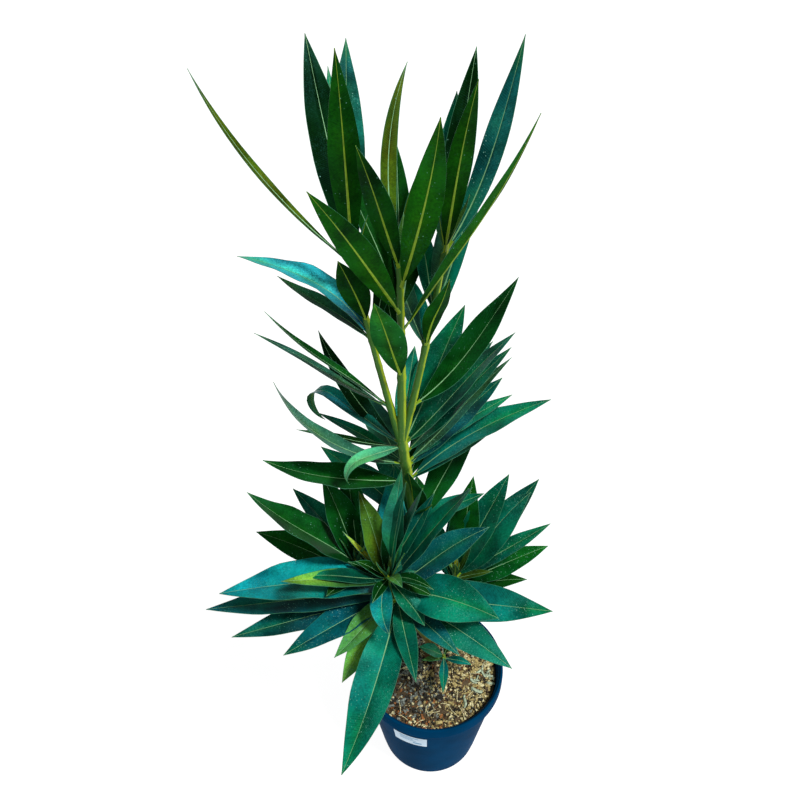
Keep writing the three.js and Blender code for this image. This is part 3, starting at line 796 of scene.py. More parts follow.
def build_dust_film(name):
    """Dust that gathers low on a wall, with splashes and fine scratches."""
    group = Group(name, Amount=0.3, Low=0.0, High=0.1)
    noise, ramp = group.noise, group.ramp
    low = ramp(group.part(group.place, "Z"), group.taken("Low"), group.taken("High"), 1.0, 0.25)
    cloud = ramp(noise(24.0, 5.0, 0.6), 0.42, 0.75)
    splash = ramp(noise(190.0, 2.0), 0.62, 0.74)
    fine = noise(1.0, 2.0, place=group.stretched(30.0, 30.0, 900.0))
    return group.give(
        Dust=(cloud * 0.55 + splash * 0.5) * low * group.taken("Amount"),
        Scratches=ramp(fine, 0.68, 0.74),
    )


def plastic_material():
    look = settings("pot")
    finish = Finish(
        "pot_plastic", Roughness=0.42, Specular_IOR_Level=0.0015, Specular_Tint=(0.1, 0.6, 1.0, 1.0)
    )
    film = finish.surface("dust_film", build_dust_film, Amount=look.dust, High=look.height)
    cloudy = finish.lit(look.colour, finish.ramp(finish.noise(18.0), 0.3, 0.7, 0.75, 1.3))
    scuffed = finish.mix(film["Scratches"] * 0.15, cloudy, (0.05, 0.15, 0.3, 1))
    finish.set(
        Base_Color=finish.mix(film["Dust"], scuffed, (0.02, 0.13, 0.16, 1)),
        Roughness=film["Dust"] * 0.5 + 0.4,
    )
    return finish.bump(finish.noise(900.0, 2.0), 0.04 * MM)


def paper_material(name, tone):
    finish = Finish(name, Roughness=0.5, Specular_IOR_Level=0.4)
    stain = finish.ramp(finish.noise(70.0), 0.3, 0.75, 1.0, 0.84)
    finish.set(Base_Color=finish.lit(tone, stain))
    return finish.bump(finish.noise(1500.0, 2.0), 0.03 * MM)


def build_crumb_surface(name):
    """Grain of one crumb of the mix."""
    group = Group(name, Colour=(0.2, 0.15, 0.1, 1), Grain=600.0)
    grain = group.noise(group.taken("Grain"), roughness=0.5)
    tone = group.lit(group.taken("Colour"), group.ramp(grain, 0.3, 0.7, 0.55, 1.5))
    return group.give(Colour=tone, Height=grain)


def crumb_material(name, tone, roughness=0.85, grain=600.0):
    """The material of this name, made once."""
    if name in bpy.data.materials:
        return bpy.data.materials[name]
    finish = Finish(name, Roughness=roughness, Specular_IOR_Level=0.25)
    crumb = finish.surface("crumb_surface", build_crumb_surface, Colour=opaque(tone), Grain=grain)
    finish.set(Base_Color=crumb["Colour"])
    return finish.bump(crumb["Height"], 0.4 * MM)


# ---- limbs and leaves


def limb_point(limb, share):
    start, bend, end = (Vector(point) for point in limb[:3])
    return start * (1 - share) ** 2 + bend * 2 * share * (1 - share) + end * share ** 2


def share_at_height(limb, z):
    """The share of the limb at which it reaches the height z, in millimetres."""
    low, high = 0.0, 1.0
    for _ in range(40):
        middle = (low + high) / 2
        if limb_point(limb, middle).z < z:
            low = middle
        else:
            high = middle
    return (low + high) / 2


def chance(z, turn, length, n):
    """A repeatable random number from 0 to 1 for the n-th choice of one leaf."""
    state = (z * 7919 + turn * 104729 + length * 15485 + 1 + n * 1299709) % CHANCE_PRIME
    for _ in range(3):
        state = (state * 16807) % CHANCE_PRIME
    return state / CHANCE_PRIME


def leaf_shape(slim, droop, z, kind, turn, rise, length, extra=None):
    """The leaf's full shape, with its own small and repeatable variation."""
    own = {"slim": slim, "droop": droop, "bend": 0, "roll": 0, "curl": 0, **(extra or {})}
    vary = [chance(z, turn, length, n) for n in range(8)]
    return {
        "kind": kind,
        "turn": turn,
        "rise": rise,
        "length": length,
        "width": own["slim"] * length * (0.95 + 0.1 * vary[0]),
        "droop": own["droop"] + 8 * (vary[1] - 0.5),
        "roll": own["roll"] + 14 * (vary[2] - 0.5),
        "bend": own["bend"] + 14 * (vary[3] - 0.5),
        "curl": own["curl"],
        "twist": 34 * (vary[4] - 0.5),
        "wave": vary[5],
        "cup": vary[6],
        "arch": vary[7] - 0.5,
    }


def blade_share(t):
    """Half the blade's width, as a share of its full half width."""
    s = np.clip((t - PETIOLE_SHARE) / (1 - PETIOLE_SHARE), 0, 1)
    return np.maximum(0, np.sin(np.pi * s ** 0.9)) ** 0.95


def midrib(root, leaf):
    """The midrib: small steps that turn from the root's direction to the tip's."""
    t = (np.arange(MIDRIB_STEPS) + 0.5) / MIDRIB_STEPS
    hook = leaf["curl"] * np.maximum(0, t - 0.6) / 0.4
    up = np.radians(leaf["rise"] + leaf["droop"] * (0.5 - t) - hook)
    turned = np.radians(leaf["turn"] + leaf["bend"] * (0.5 - t))
    step = np.stack([np.cos(turned) * np.cos(up), np.sin(turned) * np.cos(up), np.sin(up)], 1)
    points = np.vstack([np.zeros(3), np.cumsum(step, 0)])
    return points * (leaf["length"] / np.linalg.norm(points[-1])) + np.array(root)


def unit(rows):
    return rows / np.linalg.norm(rows, axis=1, keepdims=True)


def leaf_frames(points, leaf):
    """The side and up directions at each point of the midrib."""
    along = unit(np.gradient(points, axis=0))
    turn = math.radians(leaf["turn"])
    level = np.array([math.sin(turn), -math.cos(turn), 0.0])
    side = unit(level - along * (along @ level)[:, None])
    t = np.linspace(0, 1, len(points))
    roll = np.radians(leaf["roll"] + leaf["twist"] * (t - 0.5))[:, None]
    side = side * np.cos(roll) + np.cross(along, side) * np.sin(roll)
    return side, np.cross(side, along)


def near_middle(wide, reach):
    """1 at the midrib, falling to 0 at its reach."""
    return np.clip(1 - wide / np.maximum(reach, 0.01), 0, 1)


def column_lift(leaf, face, t, half, column, rib, thick, blade):
    """How far one column of points stands above the midrib's plane, in millimetres."""
    wide = np.abs(column)
    full = half * blade_share(t)
    fold = LEAF_FOLD * full * wide ** 1.15
    cup = (leaf["cup"] - 0.35) * 0.16 * full * wide ** 2
    wave = np.sin(TURN * (t * (2 + 2 * leaf["wave"]) + leaf["wave"] + 0.25 * np.sign(column)))
    ripple = 0.055 * full * wide ** 2 * wave * np.clip(leaf["width"] / 24, 0.3, 1.2)
    lift = fold + cup + ripple
    body = thick * (1 - 0.45 * wide ** 2) / 2
    if face == "top":
        return lift + body - 0.22 * blade * near_middle(wide, rib) * (1 - 0.6 * t)
    return lift - body - 0.95 * blade * near_middle(wide, 1.15 * rib) ** 0.6 * (1 - 0.85 * t)


def leaf_points(root, leaf, t):
    """The points of one blade and their places on it, ring by ring: the top and then the back."""
    look = settings("leaf")
    fine = midrib(root, leaf)
    spots = t * MIDRIB_STEPS
    axes = [np.interp(spots, np.arange(MIDRIB_STEPS + 1), fine[:, axis]) for axis in range(3)]
    centre = np.stack(axes, 1)
    side, up = leaf_frames(centre, leaf)
    centre = centre + up * (leaf["arch"] * 0.035 * leaf["length"] * np.sin(TURN * t))[:, None]
    stalk_half = PETIOLE_WIDTH / 2 * (1 - t) * (0.75 + 0.5 * (t < 0.02)) + 0.25
    half = np.maximum(leaf["width"] / 2 * blade_share(t), stalk_half)
    stalk = np.clip(1 - t / (2.2 * PETIOLE_SHARE), 0, 1)
    thick = look.thickness / MM * (0.75 + 0.5 * (1 - t)) + 1.7 * stalk
    points, places = [], []
    for face, width in (("top", look.rib), ("back", look.back_rib)):
        rib = width / MM * (leaf["length"] / 130) ** 0.5 * np.maximum(1 - t, 0.06) ** 1.15
        rib = np.minimum(np.maximum(rib, 0.12), half * 0.35) / half
        edge = np.maximum(1 - 0.3 / half, rib + 0.25)
        right = [rib, *(rib + (edge - rib) * part for part in LEAF_COLUMNS), edge, np.ones_like(t)]
        for column in [-column for column in reversed(right)] + [np.zeros_like(t)] + right:
            lift = column_lift(leaf, face, t, half, column, rib, thick, 1 - stalk)
            across = column * half
            points.append(centre + side * across[:, None] + up * lift[:, None])
            places.append(np.stack([across * MM, t * leaf["length"] * MM], 1))
    return np.stack(points, 1), np.stack(places, 1)


def leaf_quads(steps, count):
    """The faces of one blade of so many rings, with count columns on each face."""
    ring, column = np.meshgrid(np.arange(steps), np.arange(count - 1), indexing="ij")
    base = ring * 2 * count + column
    above = base + 2 * count
    start = np.arange(steps) * 2 * count
    after = start + 2 * count
    cap = np.arange(count - 1)
    last = steps * 2 * count + cap
    faces = [
        (base, base + 1, above + 1, above),
        (base + count, above + count, above + count + 1, base + count + 1),
        (start + count - 1, start + 2 * count - 1, after + 2 * count - 1, after + count - 1),
        (start, after, after + count, start + count),
        (cap, cap + count, cap + count + 1, cap + 1),
        (last, last + 1, last + count + 1, last + count),
    ]
    return np.vstack([np.stack(corners, -1).reshape(-1, 4) for corners in faces])


def leaf_finishes(kind, t, count):
    """The name of the finish of each face of one blade, in the order of leaf_quads."""
    middle = count // 2
    strip = np.abs(np.arange(count - 1) + 0.5 - middle)
    on_stalk = (t[:-1] < 1.3 * PETIOLE_SHARE)[:, None]
    top = np.where(strip < 1, "rib_pale", np.where(strip > middle - 1, "edge_pale", f"blade_{kind}"))
    back = np.where(strip < 1, "rib_yellow", BACK_OF_KIND[kind])
    grids = [np.where(on_stalk, "rib_yellow", finish).ravel() for finish in (top, back)]
    return np.concatenate(grids + [["edge_pale"] * 2 * (len(t) - 1), ["rib_yellow"] * 2 * (count - 1)])


def leaves_piece(name, leaves, node):
    """All the given leaves as one mesh. Each leaf is its root and its shape."""
    steps = settings("leaf").rings
    # The rings crowd towards both ends, where the outline turns most.
    t = np.linspace(0, 1, steps + 1)
    t = t - 0.09 * np.sin(TURN * t)
    points, quads, finishes, places = [], [], [], []
    size = 0
    for root, leaf in leaves:
        rows, row_places = leaf_points(root, leaf, t)
        count = rows.shape[1] // 2
        points.append(rows.reshape(-1, 3))
        places.append(row_places.reshape(-1, 2))
        quads.append(leaf_quads(steps, count) + size)
        finishes.append(leaf_finishes(leaf["kind"], t, count))
        size += len(points[-1])
    used, slots = np.unique(np.concatenate(finishes), return_inverse=True)
    piece = mesh_piece(
        name, np.vstack(points) * MM, np.vstack(quads), slots,
        [leaf_finish(str(key)) for key in used], {"blade": np.vstack(places)},
    )
    seat(piece, "leaf", node)


def grown_leaves(mass_name, whorls):
    """The leaves of a mass, each rooted in the middle of its limb."""
    limb_name, slim, droop, _ = MASSES[mass_name]
    limb = LIMBS[limb_name]
    for z, rows in whorls.items():
        root = limb_point(limb, share_at_height(limb, z))
        for row in rows:
            yield root, leaf_shape(slim, droop, z, *row)


def limb_radius(limb_name, share, height):
    """The limb's radius in millimetres, with its root flare and a swelling at each leaf node."""
    first, last = LIMBS[limb_name][3]
    radius = first + (last - first) * share
    if limb_name == "trunk":
        radius += ROOT_FLARE * math.exp(-share / FLARE_SHARE)
    nodes = [z for mass in MASSES.values() if mass[0] == limb_name for z in mass[3]]
    near = min(abs(height - node) for node in nodes)
    scar = abs((height - 9) % SCAR_GAP - SCAR_GAP / 2)
    swell = math.exp(-(near / 3.2) ** 2) + 0.45 * math.exp(-(scar / 1.6) ** 2)
    return radius * (1 + settings("limb").swelling * swell)


def limb_piece(name, limb_name, start, end, material, node, closed_tip=False):
    """A limb between two of its shares, ring by ring, with bark relief."""
    look = settings("limb")
    limb = LIMBS[limb_name]
    path = [limb_point(limb, start + (end - start) * i / 20) for i in range(21)]
    length = sum((after - before).length for before, after in zip(path, path[1:]))
    steps = max(4, int(length * MM / look.step))
    rings = []
    for i in range(steps + 1):
        share = start + (end - start) * i / steps
        centre = limb_point(limb, share)
        rings.append((centre * MM, limb_radius(limb_name, share, centre.z) * MM))
    if closed_tip:
        centre, radius = rings[-1]
        along = (centre - rings[-2][0]).normalized()
        for part in (0.35, 0.7, 0.95):
            rings.append((centre + along * radius * 1.8 * part, radius * math.sqrt(1 - part ** 2)))
    piece = extrude_rings(name, rings, look.sides)
    modify(
        piece, "DISPLACE", "bark relief", texture=cloud_texture("bark_relief", 4 * MM),
        texture_coords="LOCAL", strength=look.relief, mid_level=0.5,
    )
    smooth(piece, 60)
    dress(piece, material)
    seat(piece, "bark", node)


# ---- potting mix


def bed_height(x, y):
    """Height of the mix's surface in metres, with soft hollows."""
    fall = max(0.0, math.hypot(x, y) - 22 * MM) / (50 * MM)
    hollow = math.sin(x * 170 + 1) * math.cos(y * 140)
    return MIX_BOX[1].z - 2.5 * MM * fall ** 1.5 + 0.8 * MM * hollow


def on_bed(x, y, lift):
    return Vector((x, y, bed_height(x, y) + lift))


def tumble(chooser, flat):
    """A random turn, about the vertical only or nearly so for a flat thing."""
    turn = Matrix.Rotation(chooser.uniform(0, TURN), 3, "Z")
    lean = chooser.gauss(0, 0.35) if flat else chooser.uniform(0, math.pi)
    return turn @ Matrix.Rotation(lean, 3, "X")


def crumb(chooser, centre, size, squash, flat):
    """One angular crumb: a knocked-about box with eight corners."""
    turn = tumble(chooser, flat)
    corners = []
    for corner in CRUMB_CORNERS:
        knocked = Vector([c * s * chooser.uniform(0.55, 1.0) for c, s in zip(corner, (1, *squash))])
        corners.append(centre + turn @ knocked * size / 2)
    return corners


def mix_spot(chooser, spread):
    """A place on the bed, clear of the stems."""
    while True:
        turn = chooser.uniform(0, TURN)
        radius = spread * math.sqrt(chooser.random())
        x, y = radius * math.cos(turn), radius * math.sin(turn)
        if all((Vector((x, y)) - Vector(stem) * MM).length > clear * MM for stem, clear in STEM_SPACE):
            return x, y


def crumb_tone(chooser, x, y):
    """The crumb's colour by its place: grey on the left, tan on the right, rusty at the front left."""
    right = chooser.gauss(x / (70 * MM), 0.22)
    front = chooser.gauss(-y / (70 * MM), 0.22)
    clump = math.sin(x * 330) * math.cos(y * 290 + 1)
    # The tan and cream on the right are partly the mix's own colours and partly painted warm light from the
    # right.
    if right > 0.1:
        tones = {"tan": 6, "cream": 2, "brown": 3, "dark": 1 + 4 * (clump > 0.4)}
    elif front > 0.72 or (right < -0.5 and front > 0.3):
        tones = {"rust": 3, "brown": 4, "dark": 4, "cream": 1}
    elif clump > 0.25:
        tones = {"dark": 4, "grey": 1}
    else:
        tones = {"grey": 8, "dark": 3, "brown": 1, "cream": 1}
    return "mix_" + chooser.choices(list(tones), list(tones.values()))[0]


def mix_material(name):
    return crumb_material(name, MIX_TONES[name])


class Scatter:
    """Many small closed forms on the bed, gathered into one mesh."""

    def __init__(self):
        self.points, self.faces, self.tones = [], [], []

    def add(self, points, faces, tone):
        base = len(self.points)
        self.points += [tuple(point) for point in points]
        self.faces += [[base + corner for corner in face] for face in faces]
        self.tones += [tone] * len(faces)

    def piece(self, name, materials, is_smooth=True):
        slots = [list(materials).index(tone) for tone in self.tones]
        piece = mesh_piece(name, self.points, self.faces, slots, list(materials.values()), None, is_smooth)
        seat(piece, "soil")


def tube_faces(rings, clockwise):
    """The faces of a four-sided tube and its ends, for corners that run either way round it."""
    faces = []
    for i in range(rings - 1):
        for j in range(4):
            a, b = 4 * i + j, 4 * i + (j + 1) % 4
            faces.append([a, b, b + 4, a + 4] if clockwise else [a, a + 4, b + 4, b])
    last = 4 * rings - 4
    ends = [[0, 1, 2, 3], [last + 3, last + 2, last + 1, last]]
    return faces + ([end[::-1] for end in ends] if clockwise else ends)


def crumbs_piece(name, count, sizes, squash, flat, spread, chooser):
    """A joined scatter of crumbs, dealt their colours by place."""
    scatter = Scatter()
    for _ in range(count):
        x, y = mix_spot(chooser, spread)
        size = chooser.triangular(*sizes)
        centre = on_bed(x, y, 0.15 * size + chooser.uniform(-0.2, 0.35) * 2.4 * MM)
        corners = crumb(chooser, centre, size, squash, flat)
        scatter.add(corners, CRUMB_FACES, crumb_tone(chooser, x, y))
    scatter.piece(name, {tone: mix_material(tone) for tone in sorted(MIX_TONES)}, False)


def flakes_piece(name, count, spread, chooser):
    """Thin, pale and crumpled flakes of dry husk, caught along the right of the rim."""
    scatter = Scatter()
    rings = 5
    for _ in range(count):
        turn = math.radians(chooser.triangular(-60, 45, -15))
        radius = spread * chooser.uniform(0.7, 0.98)
        size = chooser.uniform(4, 13) * MM
        tilt = tumble(chooser, True)
        centre = on_bed(radius * math.cos(turn), radius * math.sin(turn), chooser.uniform(1.5, 3.5) * MM)
        curl = chooser.uniform(0.05, 0.2) * size
        wide = size * chooser.uniform(0.25, 0.5)
        points = []
        for i in range(rings):
            along = i / (rings - 1) - 0.5
            rise = curl * (4 * along ** 2 - 0.5)
            ragged = wide * chooser.uniform(0.7, 1.1) * (1 - 1.2 * along ** 2)
            for side, lift in ((-1, 0), (1, 0.3 * MM), (1, 0.55 * MM), (-1, 0.25 * MM)):
                points.append(centre + tilt @ Vector((along * size, side * ragged / 2, rise + lift)))
        scatter.add(points, tube_faces(rings, True), "mix_husk")
    scatter.piece(name, {"mix_husk": crumb_material("mix_husk", HUSK_TONE, 0.7, 300.0)})


def fibre_points(chooser, spread):
    """The line of one bent fibre that lies on the mix."""
    x, y = mix_spot(chooser, spread)
    heading = chooser.uniform(0, TURN)
    bend = chooser.gauss(0, 0.16)
    step = chooser.uniform(1.2, 3.2) * MM
    line = []
    for i in range(6):
        line.append(on_bed(x, y, (1.6 + 1.6 * math.sin(i / 5 * math.pi) * chooser.random()) * MM))
        heading += bend
        x += step * math.cos(heading)
        y += step * math.sin(heading)
    return line


def fibres_piece(name, count, spread, chooser):
    """Four-sided bent fibres, joined."""
    tones = {"mix_cream": 4, "mix_brown": 3, "mix_rust": 2, "mix_dark": 1}
    scatter = Scatter()
    for _ in range(count):
        line = fibre_points(chooser, spread)
        if any(math.hypot(point.x, point.y) > spread for point in line):
            continue
        thick = chooser.uniform(0.18, 0.45) * MM
        points = []
        for i, point in enumerate(line):
            along = (line[min(i + 1, 5)] - line[max(i - 1, 0)]).normalized()
            side = along.cross(Vector((0, 0, 1))).normalized() * thick
            up = side.cross(along).normalized() * thick * 0.6
            points += [point + side, point + up, point - side, point - up]
        tone = chooser.choices(list(tones), list(tones.values()))[0]
        scatter.add(points, tube_faces(len(line), False), tone)
    scatter.piece(name, {tone: mix_material(tone) for tone in tones})


# ---- operators


def wall_radius(z):
    """The outer radius of the pot's wall at this height."""
    size = settings("pot")
    slope = (size.rim_radius - size.lip_step - size.foot_radius) / size.height
    return size.foot_radius + slope * z


class OLEANDER_OT_pot(bpy.types.Operator):
    """Build the nursery pot with its rolled lip, foot ring and drain holes"""

    bl_idname = "oleander.pot"
    bl_label = "Pot"

    def execute(self, context):
        size = settings("pot")
        lip = size.rim_radius
        top = size.height
        under = top - size.lip_height
        # The profile as radius and height: from the floor's recess round the foot ring and its
        # rounded corner up the wall, and over the rolled lip.
        foot = ((44, 1.4), (46, 1.2), (47, 0.2), (48, 0.0), (52, 0.0))
        corner = 2 * MM
        profile = [(radius * MM, z * MM) for radius, z in foot]
        for i in range(1, 5):
            bend = math.radians(22.5 * i)
            radius = size.foot_radius - corner * (1 - math.sin(bend))
            profile.append((radius, corner * (1 - math.cos(bend))))
        for i in range(1, 12):
            z = corner + (under - 2.5 * MM) * i / 11
            profile.append((wall_radius(z), z))
        profile += [
            (wall_radius(under) + 0.3 * MM, under),
            (lip - 0.7 * MM, under + 0.4 * MM),
            (lip - 0.1 * MM, under + 1.4 * MM),
            (lip, under + 2.6 * MM),
            (lip, under + 6 * MM),
            (lip, top - 2.4 * MM),
        ]
        for i in range(1, 7):
            bend = math.radians(30 * i)
            across = 1.5 * MM * (1 - math.cos(bend))
            profile.append((lip - across, top - 1.6 * MM + 1.6 * MM * math.sin(bend)))
        # Then down the inside to the floor.
        for i in range(9):
            z = top - 3 * MM - (top - 5.5 * MM) * i / 8
            profile.append((wall_radius(z) - size.wall - 0.3 * MM, z))
        pot = extrude_rings("pot_body", [((0, 0, z), radius) for radius, z in profile], size.sides)
        for i in range(size.holes):
            turn = TURN * (i + 0.5) / size.holes
            self.drill(pot, (38 * MM * math.cos(turn), 38 * MM * math.sin(turn), 0))
        dress(pot, plastic_material())
        smooth(pot, 35)
        seat(pot, "pot_plastic", "pot")
        return {"FINISHED"}

    @staticmethod
    def drill(pot, place):
        deselect_all()
        bpy.ops.mesh.primitive_cylinder_add(vertices=20, radius=4.5 * MM, depth=12 * MM, location=place)
        drill = bpy.context.active_object
        modify(pot, "BOOLEAN", "drain hole", object=drill, operation="DIFFERENCE", solver="EXACT")
        bpy.data.objects.remove(drill)


class OLEANDER_OT_label(bpy.types.Operator):
    """Build the blank sticker with plain generic lines on the pot's wall"""

    bl_idname = "oleander.label"
    bl_label = "Sticker"

    def execute(self, context):
        look = settings("pot")
        low, high = LABEL_BOX
        tall = high.z - low.z
        paper = self.patch("sticker", low.z, high.z, -18, 18, 0.0, 0.3)
        dress(paper, paper_material("label_paper", look.paper))
        seat(paper, "label_paper", "label")
        strips = []
        for i, (bottom, top, left, right) in enumerate(STICKER_LINES):
            edges = (low.z + bottom * tall, low.z + top * tall)
            strips.append(self.patch(f"sticker_line_{i + 1}", *edges, left, right, 0.12, 0.24))
        only(strips[0])
        for strip in strips:
            strip.select_set(True)
        bpy.ops.object.join()
        strips[0].name = "sticker_lines"
        dress(strips[0], paper_material("label_print", look.print_colour))
        seat(strips[0], "label_paper", "label")
        return {"FINISHED"}

    @staticmethod
    def patch(name, bottom, top, left, right, proud, thickness):
        """A patch of the tapered wall, cut out of a cone. What follows top is in millimetres."""
        low, high = (wall_radius(z) + LABEL_GAP + proud * MM for z in (bottom, top))
        deselect_all()
        bpy.ops.mesh.primitive_cone_add(
            vertices=720, radius1=low, radius2=high, depth=top - bottom, end_fill_type="NOTHING",
            location=(0, 0, (top + bottom) / 2),
        )
        piece = bpy.context.active_object
        piece.name = name
        place_at_origin(piece)
        bpy.ops.object.mode_set(mode="EDIT")
        bpy.ops.mesh.select_mode(type="FACE")
        bpy.ops.mesh.select_all(action="DESELECT")
        bpy.ops.object.mode_set(mode="OBJECT")
        middle = LABEL_TURN + (left + right) / 2 * MM / high
        reach = (right - left) / 2 * MM / high
        for polygon in piece.data.polygons:
            spot = polygon.center
            away = (math.atan2(spot.y, spot.x) - middle + math.pi) % TURN - math.pi
            polygon.select = abs(away) > reach
        bpy.ops.object.mode_set(mode="EDIT")
        bpy.ops.mesh.delete(type="FACE")
        bpy.ops.object.mode_set(mode="OBJECT")
        modify(piece, "SOLIDIFY", "thickness", thickness=thickness * MM, offset=1.0)
        smooth(piece, 30)
        return piece


class OLEANDER_OT_mix(bpy.types.Operator):
    """Build the bed of potting mix with its grit, bark chips, fibres and dry flakes"""

    bl_idname = "oleander.mix"
    bl_label = "Potting mix"

    def execute(self, context):
        look = settings("mix")
        low, high = MIX_BOX
        wide = high.x - 0.5 * MM
        slope = (settings("pot").rim_radius - 57 * MM) / settings("pot").height
        rings = []
        for z in np.linspace(low.z, high.z - 4 * MM, 8):
            rings.append(((0, 0, z), wide - slope * (high.z - 3 * MM - z)))
        radius = wide
        while radius > 2.5 * MM:
            rings.append(((0, 0, bed_height(radius, 0)), radius))
            radius -= 2.5 * MM
        bed = extrude_rings("mix_bed", rings, 90)
        surface = [
            vertex.index for vertex in bed.data.vertices
            if vertex.co.z > high.z - 5 * MM and vertex.co.xy.length < wide - 2 * MM
        ]
        bed.vertex_groups.new(name="surface").add(surface, 1.0, "REPLACE")
        modify(
            bed, "DISPLACE", "lumps", texture=cloud_texture("mix_lumps", 5 * MM), texture_coords="LOCAL",
            direction="Z", strength=look.relief, vertex_group="surface",
        )
        dress(bed, mix_material("mix_brown"))
        smooth(bed, 60)
        seat(bed, "soil", "potting_mix")
        chooser = random.Random(look.seed)
        spread = wide - 2.5 * MM
        grit_sizes = (0.9 * MM, 3.9 * MM, 1.7 * MM)
        chip_sizes = (3 * MM, 9 * MM, 4.5 * MM)
        crumbs_piece("mix_grit", look.grit, grit_sizes, (0.8, 0.7), False, spread, chooser)
        crumbs_piece("mix_chips", look.chips, chip_sizes, (0.5, 0.28), True, spread - 3 * MM, chooser)
        fibres_piece("mix_fibres", look.fibres, spread, chooser)
        flakes_piece("mix_flakes", look.flakes, spread, chooser)
        return {"FINISHED"}


class OLEANDER_OT_limbs(bpy.types.Operator):
    """Build the trunk, the boughs and the stems inside the foliage masses"""

    bl_idname = "oleander.limbs"
    bl_label = "Trunk and boughs"

    def execute(self, context):
        bark = bark_material()
        limb_piece("trunk_bark", "trunk", 0.0, 1.0, bark, "trunk")
        for node, (limb_name, mass_name, foot, _) in BOUGHS.items():
            end = share_at_height(LIMBS[limb_name], foot)
            limb_piece(f"{node}_bark", limb_name, 0.0, end, bark, node)
            limb_piece(f"{mass_name}_stem", limb_name, end, 1.0, bark, mass_name, closed_tip=True)
        shoot = rib_material("shoot", settings("limb").shoot, 0.5)
        limb_piece("sucker_stem", "sucker", 0.0, 1.0, shoot, "sucker", closed_tip=True)
        return {"FINISHED"}


class OLEANDER_OT_leaves(bpy.types.Operator):
    """Grow the leaves of each foliage mass from its limb"""

    bl_idname = "oleander.leaves"
    bl_label = "Leaves"

    def execute(self, context):
        for name, mass in MASSES.items():
            leaves_piece(f"{name}_leaves", grown_leaves(name, mass[3]), name)
        return {"FINISHED"}


class OLEANDER_OT_young_leaves(bpy.types.Operator):
    """Grow the unfolding leaves at the tip of each shoot and the small inner leaves"""

    bl_idname = "oleander.young_leaves"
    bl_label = "Young leaves"

    def execute(self, context):
        for limb_name, mass_name, _, first in BOUGHS.values():
            tip = limb_point(LIMBS[limb_name], TIP_SHARE)
            leaves = []
            for kind, size, rise, shift in YOUNG_LEAVES:
                for i in range(3):
                    turn = (first + shift + 120 * i) % 360
                    leaf = leaf_shape(0.2, -14, round(tip.z), kind, turn, rise, size + 3 * i)
                    leaves.append((tip, leaf))
            leaves_piece(f"{mass_name}_young_leaves", leaves, mass_name)
        for mass_name, whorls in INNER_LEAVES.items():
            leaves_piece(f"{mass_name}_inner_leaves", grown_leaves(mass_name, whorls), mass_name)
        return {"FINISHED"}


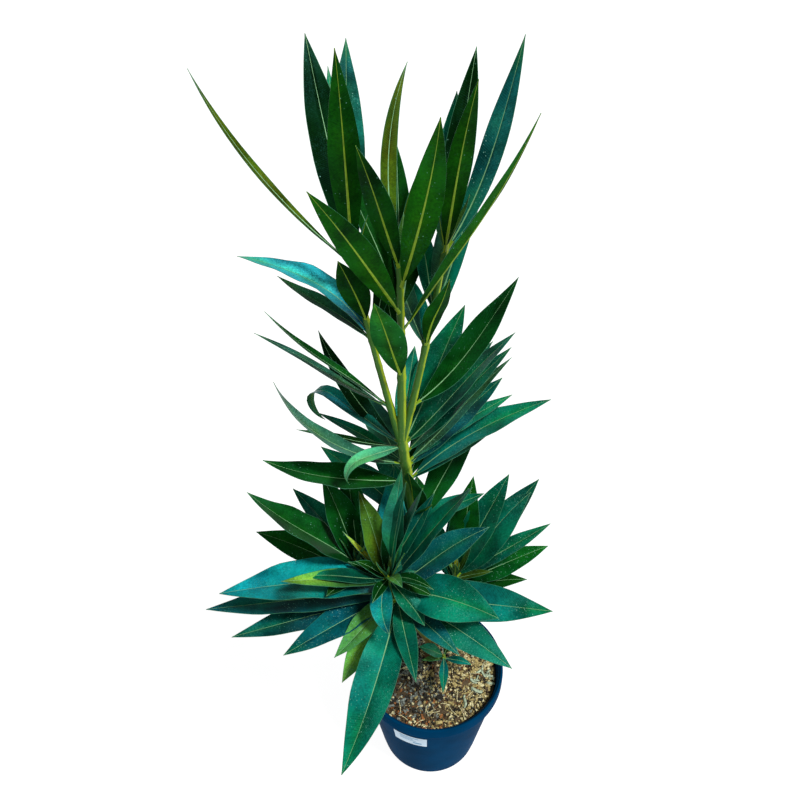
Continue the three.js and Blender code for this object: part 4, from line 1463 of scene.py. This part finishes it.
class OLEANDER_OT_stage(bpy.types.Operator):
    """Set the plain floor, the soft lamps and the camera"""

    bl_idname = "oleander.stage"
    bl_label = "Stage"

    def execute(self, context):
        look = settings("stage")
        self.floor(look)
        self.sky(look.sky)
        self.key(look)
        self.camera(look)
        context.scene.view_settings.view_transform = "Standard"
        return {"FINISHED"}

    @staticmethod
    def floor(look):
        deselect_all()
        bpy.ops.mesh.primitive_plane_add(size=FLOOR_SIZE, location=(0, 0, 0))
        floor = bpy.context.active_object
        floor.name = "floor"
        place_at_origin(floor)
        finish = Finish(
            "floor", Roughness=0.9, Specular_IOR_Level=0.1, Emission_Color=WHITE,
            Emission_Strength=look.floor_glow,
        )
        faint = finish.ramp(finish.noise(1.5), 0.3, 0.7, 0.99, 1.0)
        finish.set(Base_Color=finish.lit(look.floor_colour, faint))
        dress(floor, finish.material)

    @staticmethod
    def sky(strength):
        world = bpy.data.worlds.new("studio")
        world.use_nodes = True
        light = world.node_tree.nodes["Background"]
        light.inputs["Color"].default_value = WHITE
        light.inputs["Strength"].default_value = strength
        bpy.context.scene.world = world

    @staticmethod
    def key(look):
        data = bpy.data.lights.new("key", "SUN")
        data.energy = look.key
        data.angle = look.key_spread
        key = bpy.data.objects.new("key", data)
        bpy.context.collection.objects.link(key)
        key.rotation_euler = Vector(KEY_DIRECTION).to_track_quat("-Z", "Y").to_euler()

    @staticmethod
    def camera(look):
        data = bpy.data.cameras.new("camera")
        data.lens = look.lens
        data.sensor_width = 36
        camera = bpy.data.objects.new("camera", data)
        bpy.context.collection.objects.link(camera)
        forward = Vector((
            math.sin(look.heading) * math.cos(look.pitch),
            math.cos(look.heading) * math.cos(look.pitch),
            -math.sin(look.pitch),
        ))
        right = Vector((math.cos(look.heading), -math.sin(look.heading), 0))
        up = right.cross(forward)
        rolled = right * math.cos(look.roll) + up * math.sin(look.roll)
        upright = up * math.cos(look.roll) - right * math.sin(look.roll)
        turn = Matrix((rolled, upright, -forward)).transposed()
        camera.matrix_world = Matrix.Translation(CAMERA_PLACE) @ turn.to_4x4()
        bpy.context.scene.camera = camera


class OLEANDER_PT_panel(bpy.types.Panel):
    """Lists the pieces of the potted oleander"""

    bl_idname = "OLEANDER_PT_panel"
    bl_label = "Potted oleander"
    bl_space_type = "VIEW_3D"
    bl_region_type = "UI"
    bl_category = "Oleander"

    def draw(self, context):
        for operator in OPERATORS:
            self.layout.operator(operator.bl_idname)
        for name, group in GROUPS.items():
            box = self.layout.box()
            box.label(text=name.replace("oleander_", "").capitalize())
            for key in group.__annotations__:
                box.prop(getattr(context.scene, name), key)


GROUPS = {
    "oleander_pot": PotSettings,
    "oleander_mix": MixSettings,
    "oleander_limb": LimbSettings,
    "oleander_leaf": LeafSettings,
    "oleander_stage": StageSettings,
}
OPERATORS = (
    OLEANDER_OT_pot,
    OLEANDER_OT_label,
    OLEANDER_OT_mix,
    OLEANDER_OT_limbs,
    OLEANDER_OT_leaves,
    OLEANDER_OT_young_leaves,
    OLEANDER_OT_stage,
)


def register():
    for cls in (*GROUPS.values(), *OPERATORS, OLEANDER_PT_panel):
        bpy.utils.register_class(cls)
    for name, group in GROUPS.items():
        setattr(bpy.types.Scene, name, bpy.props.PointerProperty(type=group))


def unregister():
    for name in GROUPS:
        delattr(bpy.types.Scene, name)
    for cls in (OLEANDER_PT_panel, *reversed(OPERATORS), *reversed(tuple(GROUPS.values()))):
        bpy.utils.unregister_class(cls)


def main():
    register()
    bpy.ops.oleander.pot()
    bpy.ops.oleander.label()
    bpy.ops.oleander.mix()
    bpy.ops.oleander.limbs()
    bpy.ops.oleander.leaves()
    bpy.ops.oleander.young_leaves()
    bpy.ops.oleander.stage()


if __name__ == "__main__":
    main()
